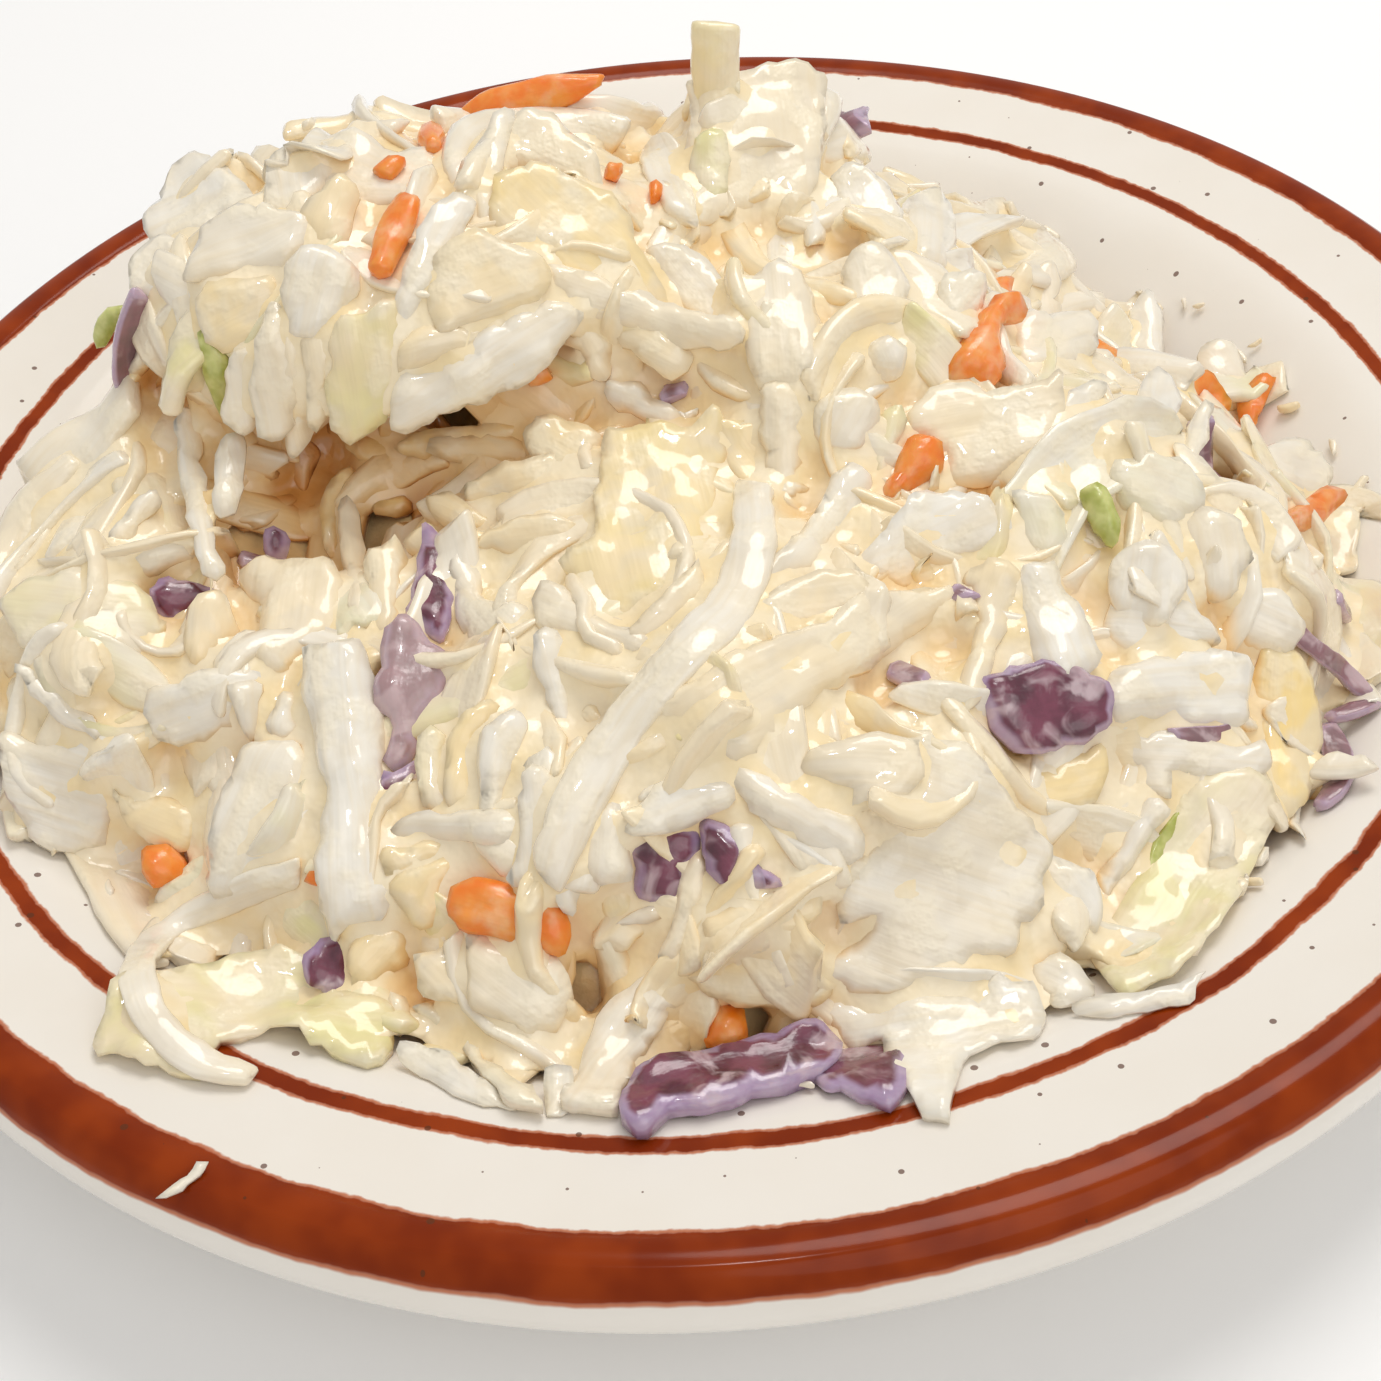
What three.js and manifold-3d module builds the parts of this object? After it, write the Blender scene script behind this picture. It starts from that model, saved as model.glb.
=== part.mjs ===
// A side helping of coleslaw on a small banded stoneware plate.
// Millimetres, +Z up. The origin is the middle of the plate's foot, on the table; +Y is towards the back.
import * as THREE from "three";
import { mergeVertices } from "three/addons/utils/BufferGeometryUtils.js";
import Module from "manifold-3d";

// ---- Driving dimensions -------------------------------------------------------------------------

// Plate: heights are above the table, radii from its middle.
const PLATE_RADIUS = 82.5;
const FLOOR_RADIUS = 49;
const FLOOR_HEIGHT = 8;
const VERGE_RADIUS = 69;
const VERGE_HEIGHT = 17.3;
const BAND_RADIUS = 77.8;
const BAND_HEIGHT = 19.4;
const CREST_HEIGHT = 20;
const LIP_HEIGHT = 15.8;
const LIP_UNDERSIDE = 12.4;
const LIP_INNER_RADIUS = 78.4;
const WALL_UNDERSIDE = 10.2;
const FOOT_OUTER_RADIUS = 49.6;
const FOOT_INNER_RADIUS = 44.6;
const FOOT_DEPTH = 3.2;
const PLATE_SEGMENTS = 52;
const CURVE_STEPS = 4;

// The heap rests this far above the glaze.
const PLATE_GAP = 0.3;
const CUTTER_DEPTH = 12;

// The heap's core: ellipsoids by centre, radii and turn about Z in degrees.
const MOUNDS = [
  { name: "pile", centre: [0, -4, 8], radii: [63, 59, 24], turn: 0 },
  { name: "left wing", centre: [-42, -10, 14], radii: [26, 28, 18], turn: 0 },
  { name: "front", centre: [3, -30, 13], radii: [31, 26, 19], turn: 0 },
  { name: "right", centre: [34, -9, 14], radii: [26, 28, 20], turn: 0 },
  { name: "middle", centre: [9, 5, 21], radii: [29, 27, 20], turn: 0 },
  { name: "back", centre: [17, 26, 11], radii: [32, 24, 17], turn: 0 },
  { name: "scoop", centre: [-22, 12, 37], radii: [27, 18, 11.3], turn: 10 },
  { name: "back tuft", centre: [9, 23, 34], radii: [12, 9, 12.5], turn: 0 },
];
const MOUND_BLEND = 4;
const MOUND_COLUMNS = 14;
const MOUND_ROWS = 7;

// A point above or outside the whole heap, from where its surface is searched for.
const SEARCH_HEIGHT = 75;
const SEARCH_RADIUS = 95;
const SEARCH_PASSES = 60;
const SEARCH_PACE = 0.7;
const SETTLE_PASSES = 4;
const HEAP_MIDDLE = [0, -3, 6];

// Scattered shreds, from a seeded rule.
const SEED = 72;
const SHRED_COUNT = 52;
const SHRED_LENGTH = [11, 25];
const SHRED_WIDTH = [2.8, 5.2];
const SHRED_THICKNESS = [1.5, 2.3];
const SHRED_LIFT = [0.1, 1.2];
const SHRED_BEND = 0.22;
const SHRED_LOWEST = 0.08;
const SHRED_EDGE_RADIUS = 65;
const SHRED_CANDIDATES = 10;
const SHRED_STEPS = 2;

// The pieces that stand out, each along a route over the heap in plan. A piece arches over the heap by its
// lift, and its ends are sunk just below the heap's surface.
const LEAF_THICKNESS = 1.3;
const LEAF_RUFFLE = 0.9;
const LEAF_CUP = 0.5;
const LEAVES = [
  { name: "large white leaf", route: [[6, -38], [13, -49], [18, -59]], width: 20, lift: 0.5 },
  { name: "yellow leaf", route: [[-3, -9], [-5, -20], [-6, -32]], width: 14, lift: 0.6 },
  { name: "scoop leaf", route: [[-10, 15], [-7, 4], [-1, -5]], width: 13, lift: 0.4 },
  { name: "scoop front leaf", route: [[-32, -5], [-19, -6], [-9, -2]], width: 9, lift: 0.6 },
  { name: "scoop left leaf", route: [[-43, 9], [-36, 4], [-29, 4]], width: 12, lift: 0.2 },
  { name: "tuft leaf", route: [[12, 24], [12, 16], [10, 7]], width: 12, lift: 0.4 },
  { name: "glossy leaf", route: [[12, -27], [19, -24], [27, -21]], width: 9, lift: 1.1 },
  { name: "right white leaf", route: [[24, -28], [33, -36]], width: 8, lift: 0.6 },
  { name: "ruffled green leaf", route: [[42, -40], [36, -50], [28, -60]], width: 13, lift: 0.2 },
  { name: "ruffled front leaf", route: [[28, -57], [17, -61], [5, -61]], width: 9, lift: 0.1 },
  { name: "leaf on the verge", route: [[-48, -57], [-38, -53], [-24, -55]], width: 10, lift: 0.1 },
  { name: "left pale leaf", route: [[-60, -19], [-52, -22], [-44, -24]], width: 12, lift: 0.2 },
  { name: "back left leaf", route: [[-60, 36], [-53, 29], [-47, 22]], width: 9, lift: 0.1 },
];
const STRIPS = [
  { name: "long", route: [[6, -17], [0, -32], [-8, -42], [-14, -53]], width: 4.4, thickness: 2.2, lift: 1.8 },
  { name: "ribbed slice", route: [[-29, -27], [-29, -40], [-29, -51]], width: 6, thickness: 2.8, lift: 0.6 },
  { name: "broad band", route: [[20, -31], [7, -39], [-4, -45]], width: 7, thickness: 2, lift: 0.8 },
  {
    name: "curl",
    route: [[-33, -46], [-46, -45], [-46, -55], [-36, -61]],
    width: 2.6,
    thickness: 1.5,
    lift: 0.1,
  },
  { name: "verge tip", route: [[13, -58], [14.5, -70]], width: 4, thickness: 1.4, lift: 0.1 },
  { name: "front left shred", route: [[-23, -54], [-14, -66]], width: 4, thickness: 2, lift: 0.1 },
  { name: "front shred", route: [[-4, -56], [-11, -66]], width: 4.6, thickness: 2, lift: 0.1 },
  { name: "thin middle shred", route: [[-1, -49], [-5, -58]], width: 3, thickness: 1.5, lift: 0.8 },
  { name: "bent shred", route: [[25, -28], [23, -35], [19, -42]], width: 3.8, thickness: 1.6, lift: 1.1 },
  { name: "middle shred", route: [[13, -14], [3, -30]], width: 4.4, thickness: 1.8, lift: 0.5 },
  { name: "cross shred", route: [[-10, -45], [2, -47]], width: 3.8, thickness: 2, lift: 0.9 },
  { name: "left flap", route: [[-38, -32], [-38, -45]], width: 5.2, thickness: 1.6, lift: 0.6 },
  { name: "left cross flap", route: [[-47, -31], [-37, -33]], width: 4.6, thickness: 1.8, lift: 0.4 },
  { name: "far left flap", route: [[-55, -29], [-54, -40]], width: 5, thickness: 1.8, lift: 0.1 },
  { name: "low cross shred", route: [[-26, -43], [-12, -47]], width: 4, thickness: 2, lift: 0.5 },
  { name: "small upright shred", route: [[-15, -38], [-17, -49]], width: 3.2, thickness: 1.8, lift: 0.6 },
  { name: "lilac tip", route: [[22, -48], [29, -57]], width: 6, thickness: 1.6, lift: 0.6 },
  { name: "right thin shred", route: [[36, -42], [28, -54]], width: 3, thickness: 1.4, lift: 0.5 },
  { name: "right block", route: [[33, -35], [44, -36]], width: 5.5, thickness: 2.4, lift: 0.5 },
  { name: "far right shred", route: [[47, -38], [58, -42]], width: 2.4, thickness: 1.4, lift: 0.6 },
  { name: "scoop block", route: [[9, 2], [9, -12]], width: 5, thickness: 2.4, lift: 0.4 },
  { name: "back block", route: [[18, -4], [17, -15]], width: 4.6, thickness: 2.2, lift: 0.2 },
  { name: "tuft left shred", route: [[-1, 23], [2, 8]], width: 4.2, thickness: 1.8, lift: 0.2 },
  { name: "scoop right flap", route: [[-1, 4], [6, -6]], width: 6, thickness: 1.6, lift: 0.1 },
  { name: "red front slice", route: [[-9, -63], [-1, -64], [9, -62]], width: 5, thickness: 1.8, lift: 0.4 },
  {
    name: "red left",
    route: [[-48, 14], [-46, 2], [-43, -9], [-39, -19]],
    width: 3.6,
    thickness: 1.6,
    lift: 0.6,
  },
  { name: "red upright slice", route: [[-22, -16], [-22, -29]], width: 3.4, thickness: 1.8, lift: 0.4 },
  { name: "red right slice", route: [[21, -41], [32, -38]], width: 5.4, thickness: 2.2, lift: 0.6 },
  {
    name: "red loop",
    route: [[48, -28], [59, -27], [57, -34], [49, -36]],
    width: 2,
    thickness: 1.2,
    lift: 0.4,
  },
  { name: "carrot on scoop", route: [[-19, 7], [-24, -3]], width: 3.2, thickness: 2, lift: 0.4 },
  { name: "back carrot", route: [[-17, 23], [-4, 31], [4, 36]], width: 2.8, thickness: 1.8, lift: 0.1 },
  { name: "right carrot", route: [[31, 3], [25, -10]], width: 3.4, thickness: 2, lift: 0.4 },
  { name: "middle carrot", route: [[21, -14], [16, -21]], width: 3.6, thickness: 2, lift: 0.5 },
  { name: "far right carrot", route: [[57, -16], [46, -24]], width: 2.6, thickness: 2, lift: 0.4 },
  { name: "front carrot", route: [[-20, -49], [-12, -55]], width: 4.4, thickness: 2, lift: 0.1 },
];
const ROUTE_STEP = 6;
const END_SINK = 0.3;

// How wide a piece is at its ends, as a share of its full width.
const STRIP_END = 0.72;
const SHRED_END = 0.7;
const LEAF_END = 0.55;
const STRAND_END = 0.75;

// The one strand that stands up out of the back tuft: from its root to its tip.
const STRAND = { root: [5.8, 20, 41], tip: [6.8, 22.5, 54], width: 4.4, thickness: 1.6 };

// ---- Solids from manifold-3d --------------------------------------------------------------------

const wasm = await Module();
wasm.setup();

function toSolid(geometry) {
  const bare = geometry.index ? geometry.toNonIndexed() : geometry.clone();
  bare.deleteAttribute("normal");
  bare.deleteAttribute("uv");
  const merged = mergeVertices(bare, 1e-3);
  return new wasm.Manifold(
    new wasm.Mesh({
      numProp: 3,
      vertProperties: merged.attributes.position.array,
      triVerts: new Uint32Array(merged.index.array),
    }),
  );
}

function toGeometry(solid) {
  const mesh = solid.getMesh();
  const geometry = new THREE.BufferGeometry();
  geometry.setAttribute("position", new THREE.BufferAttribute(mesh.vertProperties, 3));
  geometry.setIndex(new THREE.BufferAttribute(mesh.triVerts, 1));
  geometry.computeVertexNormals();
  return geometry;
}

// The largest outer surface alone: loose scraps are dropped and shut hollows are filled.
function outerBody(solid) {
  return solid.decompose().reduce((best, body) => (body.volume() > best.volume() ? body : best));
}

// ---- Plate --------------------------------------------------------------------------------------

// The glazed upper side, from the middle out to the crest of the rim.
function upperOutline() {
  const outline = new THREE.Path();
  const bendStart = [FLOOR_RADIUS + 9, FLOOR_HEIGHT];
  const bendEnd = [VERGE_RADIUS - 6, VERGE_HEIGHT - 0.6];
  outline.moveTo(0, FLOOR_HEIGHT);
  outline.lineTo(FLOOR_RADIUS, FLOOR_HEIGHT);
  outline.bezierCurveTo(...bendStart, ...bendEnd, VERGE_RADIUS, VERGE_HEIGHT);
  outline.lineTo(BAND_RADIUS, BAND_HEIGHT);
  outline.quadraticCurveTo(BAND_RADIUS + 1.3, CREST_HEIGHT, BAND_RADIUS + 2.6, CREST_HEIGHT - 0.3);
  return outline;
}

// The whole section of the plate: over the rim's rolled lip and back along the underside to the foot ring.
function plateOutline() {
  const outline = upperOutline();
  const bendStart = [VERGE_RADIUS - 8, WALL_UNDERSIDE - 2];
  const bendEnd = [FOOT_OUTER_RADIUS + 8, FOOT_DEPTH];
  outline.quadraticCurveTo(PLATE_RADIUS, CREST_HEIGHT - 1.4, PLATE_RADIUS, LIP_HEIGHT);
  outline.quadraticCurveTo(PLATE_RADIUS, LIP_UNDERSIDE, LIP_INNER_RADIUS, LIP_UNDERSIDE);
  outline.lineTo(VERGE_RADIUS, WALL_UNDERSIDE);
  outline.bezierCurveTo(...bendStart, ...bendEnd, FOOT_OUTER_RADIUS + 1, FOOT_DEPTH - 0.8);
  outline.lineTo(FOOT_OUTER_RADIUS, 0);
  outline.lineTo(FOOT_INNER_RADIUS, 0);
  outline.lineTo(FOOT_INNER_RADIUS - 1.4, FOOT_DEPTH);
  outline.lineTo(0, FOOT_DEPTH);
  return outline.getPoints(CURVE_STEPS);
}

// A lathe turns about Y, so the piece is stood up afterwards.
function turned(points) {
  const geometry = new THREE.LatheGeometry(points, PLATE_SEGMENTS);
  geometry.rotateX(Math.PI / 2);
  return geometry;
}

// What the heap must stay out of: everything below the glaze, raised by the gap.
function plateCutter() {
  const raised = upperOutline()
    .getPoints(CURVE_STEPS)
    .map((p) => new THREE.Vector2(p.x, p.y + PLATE_GAP));
  const crest = raised[raised.length - 1];
  const far = 2 * PLATE_RADIUS;
  raised.push(new THREE.Vector2(far, crest.y));
  raised.push(new THREE.Vector2(far, -CUTTER_DEPTH));
  raised.push(new THREE.Vector2(0, -CUTTER_DEPTH));
  return toSolid(turned(raised.reverse()));
}

// ---- The heap's outer surface -------------------------------------------------------------------

const glaze = upperOutline().getPoints(CURVE_STEPS);

function glazeHeight(radius) {
  const next = Math.max(1, glaze.findIndex((p) => p.x >= radius));
  if (radius >= glaze[glaze.length - 1].x) return CREST_HEIGHT;
  const [a, b] = [glaze[next - 1], glaze[next]];
  return THREE.MathUtils.mapLinear(radius, a.x, b.x, a.y, b.y);
}

const mounds = MOUNDS.map((mound) => ({
  centre: new THREE.Vector3(...mound.centre),
  radii: new THREE.Vector3(...mound.radii),
  turn: THREE.MathUtils.degToRad(mound.turn),
}));
const UP = new THREE.Vector3(0, 0, 1);

function moundDistance(point, { centre, radii, turn }) {
  const local = point.clone().sub(centre).applyAxisAngle(UP, -turn);
  const scaled = local.divide(radii);
  const outside = scaled.length();
  return (outside * (outside - 1)) / Math.max(scaled.divide(radii).length(), 1e-6);
}

// The distance to the blended mounds, below zero inside.
function heapDistance(point) {
  return mounds.reduce((sum, mound) => {
    const next = moundDistance(point, mound);
    const share = THREE.MathUtils.clamp(0.5 + (0.5 * (sum - next)) / MOUND_BLEND, 0, 1);
    return THREE.MathUtils.lerp(sum, next, share) - MOUND_BLEND * share * (1 - share);
  }, 1e3);
}

// The height above the glaze times this is near the distance to it on the sloping wall.
const WALL_SLOPE = 0.85;

// The distance to what carries a piece there: the heap, or the glaze with room for half the thickness.
function bedDistance(point, thickness = 0) {
  const overGlaze = point.z - glazeHeight(Math.hypot(point.x, point.y)) - PLATE_GAP - thickness / 2;
  return Math.min(heapDistance(point), WALL_SLOPE * overGlaze);
}

// The direction straight out of the bed.
function outward(point) {
  const reach = 0.8;
  const slope = ["x", "y", "z"].map((axis) => {
    const ahead = point.clone();
    const behind = point.clone();
    ahead[axis] += reach;
    behind[axis] -= reach;
    return bedDistance(ahead) - bedDistance(behind);
  });
  return new THREE.Vector3(...slope).normalize();
}

// The point moved straight out of, or into, the heap until it stands off by the lift.
function settled(point, lift, thickness) {
  const moved = point.clone();
  for (let pass = 0; pass < SETTLE_PASSES; pass++) {
    moved.addScaledVector(outward(moved), lift - bedDistance(moved, thickness));
  }
  return moved;
}

// The point above [x, y] where the heap or the plate is met from above.
function dropped(x, y) {
  const point = new THREE.Vector3(x, y, SEARCH_HEIGHT);
  for (let pass = 0; pass < SEARCH_PASSES; pass++) point.z -= SEARCH_PACE * bedDistance(point);
  return point;
}

// How far off the heap a piece's middle plane stands at t from 0 to 1 along it: its ends are sunk in it.
function arch(t, lift, thickness) {
  return THREE.MathUtils.lerp(lift + thickness / 2, -END_SINK, (2 * t - 1) ** 4);
}

// ---- Pieces -------------------------------------------------------------------------------------

// How wide a piece is at t from 0 to 1 along it, as a share of its full width.
function taper(t, end) {
  return THREE.MathUtils.lerp(end, 1, Math.sin(Math.PI * t));
}

// A closed slab along a route. Its half width and its wave out of the flat go by t from 0 to 1 along it, and
// the wave by the place across it, from -1 to 1, as well.
function slab(centres, normals, { columns, thickness, halfWidth, wave = () => 0 }) {
  const rows = centres.length;
  const top = [];
  const bottom = [];
  centres.forEach((centre, row) => {
    const ahead = centres[Math.min(row + 1, rows - 1)];
    const behind = centres[Math.max(row - 1, 0)];
    const along = ahead.clone().sub(behind).normalize();
    const side = new THREE.Vector3().crossVectors(along, normals[row]).normalize();
    const face = new THREE.Vector3().crossVectors(side, along).normalize();
    for (let column = 0; column <= columns; column++) {
      const across = (2 * column) / columns - 1;
      const t = row / (rows - 1);
      const middle = centre.clone().addScaledVector(side, across * halfWidth(t));
      middle.addScaledVector(face, wave(t, across));
      top.push(middle.clone().addScaledVector(face, thickness / 2));
      bottom.push(middle.addScaledVector(face, -thickness / 2));
    }
  });
  const points = [...top, ...bottom];
  const half = top.length;
  const at = (row, column) => row * (columns + 1) + column;
  const faces = [];
  const quad = (a, b, c, d) => faces.push(a, b, c, a, c, d);
  for (let row = 0; row < rows - 1; row++) {
    for (let column = 0; column < columns; column++) {
      const [a, b] = [at(row, column), at(row, column + 1)];
      const [d, c] = [at(row + 1, column), at(row + 1, column + 1)];
      quad(a, b, c, d);
      faces.push(half + a, half + c, half + b, half + a, half + d, half + c);
    }
  }
  const rim = [];
  for (let column = 0; column < columns; column++) rim.push(at(0, column));
  for (let row = 0; row < rows - 1; row++) rim.push(at(row, columns));
  for (let column = columns; column > 0; column--) rim.push(at(rows - 1, column));
  for (let row = rows - 1; row > 0; row--) rim.push(at(row, 0));
  rim.forEach((a, i) => {
    const b = rim[(i + 1) % rim.length];
    quad(b, a, half + a, half + b);
  });
  const geometry = new THREE.BufferGeometry().setFromPoints(points);
  geometry.setIndex(faces);
  const solid = toSolid(geometry);
  return solid.volume() < 0 ? toSolid(geometry.setIndex(faces.reverse())) : solid;
}

// A route over the heap in plan, evenly stepped. It bridges hollows as a stiff piece would.
function layOver(route, lift, thickness) {
  const hung = route.map(([x, y]) => dropped(x, y));
  const curve = new THREE.CatmullRomCurve3(hung, false, "chordal");
  const steps = Math.max(2, Math.round(curve.getLength() / ROUTE_STEP));
  const centres = curve.getSpacedPoints(steps).map((point, i) => {
    const stand = arch(i / steps, lift, thickness);
    const isEnd = i === 0 || i === steps;
    return isEnd || bedDistance(point, thickness) < stand ? settled(point, stand, thickness) : point;
  });
  return { centres, normals: centres.map(outward) };
}

function strip({ route, width, thickness, lift }) {
  const { centres, normals } = layOver(route, lift, thickness);
  const halfWidth = (t) => (width / 2) * taper(t, STRIP_END);
  return slab(centres, normals, { columns: 1, thickness, halfWidth });
}

// A leaf: round in plan, with a wave that grows towards its edges.
function leaf({ route, width, lift }) {
  const { centres, normals } = layOver(route, lift, LEAF_THICKNESS);
  const phase = route[0][0];
  const halfWidth = (t) => (width / 2) * taper(t, LEAF_END);
  const wave = (t, across) => {
    const ruffle = LEAF_RUFFLE * across * across * Math.sin(2 * Math.PI * t + phase);
    return ruffle + LEAF_CUP * Math.sin(3 * across);
  };
  return slab(centres, normals, { columns: 2, thickness: LEAF_THICKNESS, halfWidth, wave });
}

// A strand that stands by itself, facing the front.
function strand({ root, tip, width, thickness }) {
  const [from, to] = [new THREE.Vector3(...root), new THREE.Vector3(...tip)];
  const centres = [0, 0.5, 1].map((t) => from.clone().lerp(to, t));
  const normals = centres.map(() => new THREE.Vector3(0, -1, 0));
  const halfWidth = (t) => (width / 2) * THREE.MathUtils.lerp(1, STRAND_END, t);
  return slab(centres, normals, { columns: 1, thickness, halfWidth });
}

// ---- Scattered shreds ---------------------------------------------------------------------------

let state = SEED;
function draw(low = 0, high = 1) {
  state = (state + 0x6d2b79f5) | 0;
  let mixed = Math.imul(state ^ (state >>> 15), 1 | state);
  mixed = (mixed + Math.imul(mixed ^ (mixed >>> 7), 61 | mixed)) ^ mixed;
  return low + ((high - low) * ((mixed ^ (mixed >>> 14)) >>> 0)) / 4294967296;
}

// A spot on the heap: a random direction from low inside it, met from outside.
function spot() {
  const turn = draw(0, 2 * Math.PI);
  const rise = Math.asin(draw(SHRED_LOWEST, 1));
  const flat = Math.cos(rise);
  const way = new THREE.Vector3(Math.cos(turn) * flat, Math.sin(turn) * flat, Math.sin(rise));
  const point = new THREE.Vector3(...HEAP_MIDDLE).addScaledVector(way, SEARCH_RADIUS);
  for (let pass = 0; pass < SEARCH_PASSES; pass++) {
    point.addScaledVector(way, -SEARCH_PACE * bedDistance(point));
  }
  return point;
}

// The candidate furthest from the spots already used, so that the shreds spread evenly.
function spreadSpot(used) {
  let best = null;
  for (let tries = 0; tries < SHRED_CANDIDATES; tries++) {
    const point = spot();
    const room = Math.min(...used.map((other) => other.distanceTo(point)), 1e3);
    if (!best || room > best.room) best = { point, room };
  }
  used.push(best.point);
  return best.point;
}

// A shred that follows the heap both ways from its middle, or null where it would leave the plate's well.
function scattered(middle) {
  const length = draw(...SHRED_LENGTH);
  const width = draw(...SHRED_WIDTH);
  const thickness = draw(...SHRED_THICKNESS);
  const lift = draw(...SHRED_LIFT);
  const bend = draw(-SHRED_BEND, SHRED_BEND);
  const start = new THREE.Vector3(draw(-1, 1), draw(-1, 1), draw(-1, 1));
  const top = settled(middle, arch(0.5, lift, thickness), thickness);
  const half = SHRED_STEPS / 2;
  const [ahead, behind] = [1, -1].map((way) => {
    const walked = [];
    let point = top;
    let along = start.clone().multiplyScalar(way);
    for (let step = 1; step <= half; step++) {
      const normal = outward(point);
      along = along.projectOnPlane(normal).normalize().applyAxisAngle(normal, way * bend);
      const next = point.clone().addScaledVector(along, length / SHRED_STEPS);
      point = settled(next, arch(0.5 + (0.5 * step) / half, lift, thickness), thickness);
      walked.push(point);
    }
    return walked;
  });
  const centres = [...behind.reverse(), top, ...ahead];
  if (centres.some((p) => Math.hypot(p.x, p.y) > SHRED_EDGE_RADIUS)) return null;
  const normals = centres.map(outward);
  const halfWidth = (t) => (width / 2) * taper(t, SHRED_END);
  return slab(centres, normals, { columns: 1, thickness, halfWidth });
}

// The scattered shreds, clear of the pieces that stand out.
function scatteredShreds() {
  const used = [...LEAVES, ...STRIPS].map(({ route }) => {
    const [x, y] = route[Math.floor(route.length / 2)];
    return dropped(x, y);
  });
  const made = [];
  for (let tries = 0; made.length < SHRED_COUNT && tries < 4 * SHRED_COUNT; tries++) {
    const shred = scattered(spreadSpot(used));
    if (shred) made.push(shred);
  }
  return made;
}

// ---- Slaw: the core with its pieces fused on ----------------------------------------------------

function moundSolid({ centre, radii, turn }) {
  const geometry = new THREE.SphereGeometry(1, MOUND_COLUMNS, MOUND_ROWS);
  geometry.rotateX(Math.PI / 2);
  geometry.scale(...radii.toArray());
  geometry.rotateZ(turn);
  geometry.translate(...centre.toArray());
  return toSolid(geometry);
}

function slawSolid() {
  const pieces = [
    ...mounds.map(moundSolid),
    ...LEAVES.map(leaf),
    ...STRIPS.map(strip),
    strand(STRAND),
    ...scatteredShreds(),
  ];
  const fused = pieces.reduce((sum, piece) => sum.add(piece));
  return outerBody(outerBody(fused).subtract(plateCutter()));
}

// ---- The part -----------------------------------------------------------------------------------

const GLAZE = new THREE.MeshStandardMaterial({ color: 0xeee9de, roughness: 0.25, metalness: 0 });
const DRESSED_SALAD = new THREE.MeshStandardMaterial({ color: 0xf0e8d2, roughness: 0.35, metalness: 0 });

function named(name, solid, material) {
  const mesh = new THREE.Mesh(toGeometry(solid), material);
  mesh.name = name;
  return mesh;
}

const group = new THREE.Group();
group.add(named("plate", toSolid(turned(plateOutline().reverse())), GLAZE));
group.add(named("slaw", slawSolid(), DRESSED_SALAD));

export default group;
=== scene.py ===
"""Coleslaw on its banded plate: the looks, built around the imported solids.

Lengths are in millimetres, in the part's own frame, until a mesh is made of them in metres.
"""

import math

import bpy
import numpy as np
from mathutils import Matrix, Vector
from mathutils.bvhtree import BVHTree
from mathutils.geometry import delaunay_2d_cdt


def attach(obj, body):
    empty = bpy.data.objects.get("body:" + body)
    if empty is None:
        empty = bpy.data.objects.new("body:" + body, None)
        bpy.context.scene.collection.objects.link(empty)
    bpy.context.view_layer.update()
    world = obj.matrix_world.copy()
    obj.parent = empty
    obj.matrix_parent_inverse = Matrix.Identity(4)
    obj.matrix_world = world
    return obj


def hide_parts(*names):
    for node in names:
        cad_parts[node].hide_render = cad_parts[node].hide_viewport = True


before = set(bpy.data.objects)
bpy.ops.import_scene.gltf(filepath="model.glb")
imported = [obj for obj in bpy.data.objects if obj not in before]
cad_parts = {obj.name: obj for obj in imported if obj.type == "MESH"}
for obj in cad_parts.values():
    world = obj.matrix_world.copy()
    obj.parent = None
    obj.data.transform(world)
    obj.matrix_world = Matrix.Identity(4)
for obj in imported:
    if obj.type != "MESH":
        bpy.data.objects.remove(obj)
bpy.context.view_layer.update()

MM = 0.001

# ---- The camera: the photograph's, in a square frame of PHOTO_PIXELS -------------------------------

PHOTO_PIXELS = 1381
FOCAL_PIXELS = 2000
SENSOR_WIDTH = 36
CAMERA_AT = np.array([-1.26, -145.42, 139.60])
CAMERA_AHEAD = np.array([0.0, 0.70168, -0.71249])
CAMERA_RIGHT = np.array([0.99545, -0.06787, -0.06684])
CAMERA_DOWN = np.cross(CAMERA_AHEAD, CAMERA_RIGHT)

# ---- Plate: heights above the table, radii from its middle -----------------------------------------

FLOOR_RADIUS, FLOOR_HEIGHT = 49.0, 8.0
VERGE_RADIUS, VERGE_HEIGHT = 69.0, 17.3
BAND_RADIUS, BAND_HEIGHT = 77.8, 19.4
CREST_HEIGHT = 20.0
CREST_END = (BAND_RADIUS + 2.6, CREST_HEIGHT - 0.3)
PLATE_RADIUS, LIP_HEIGHT = 82.5, 15.8
LIP_INNER_RADIUS, LIP_UNDERSIDE = 78.4, 12.4
WALL_UNDERSIDE = 10.2
FOOT_OUTER_RADIUS, FOOT_INNER_RADIUS, FOOT_DEPTH = 49.6, 44.6, 3.2
FOOT_TOP = (FOOT_OUTER_RADIUS + 1, FOOT_DEPTH - 0.8)
PLATE_SEGMENTS = 256
CURVE_STEPS = 14

# ---- Heap: ellipsoids by centre, radii and turn about Z in degrees ----------------------------------

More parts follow.
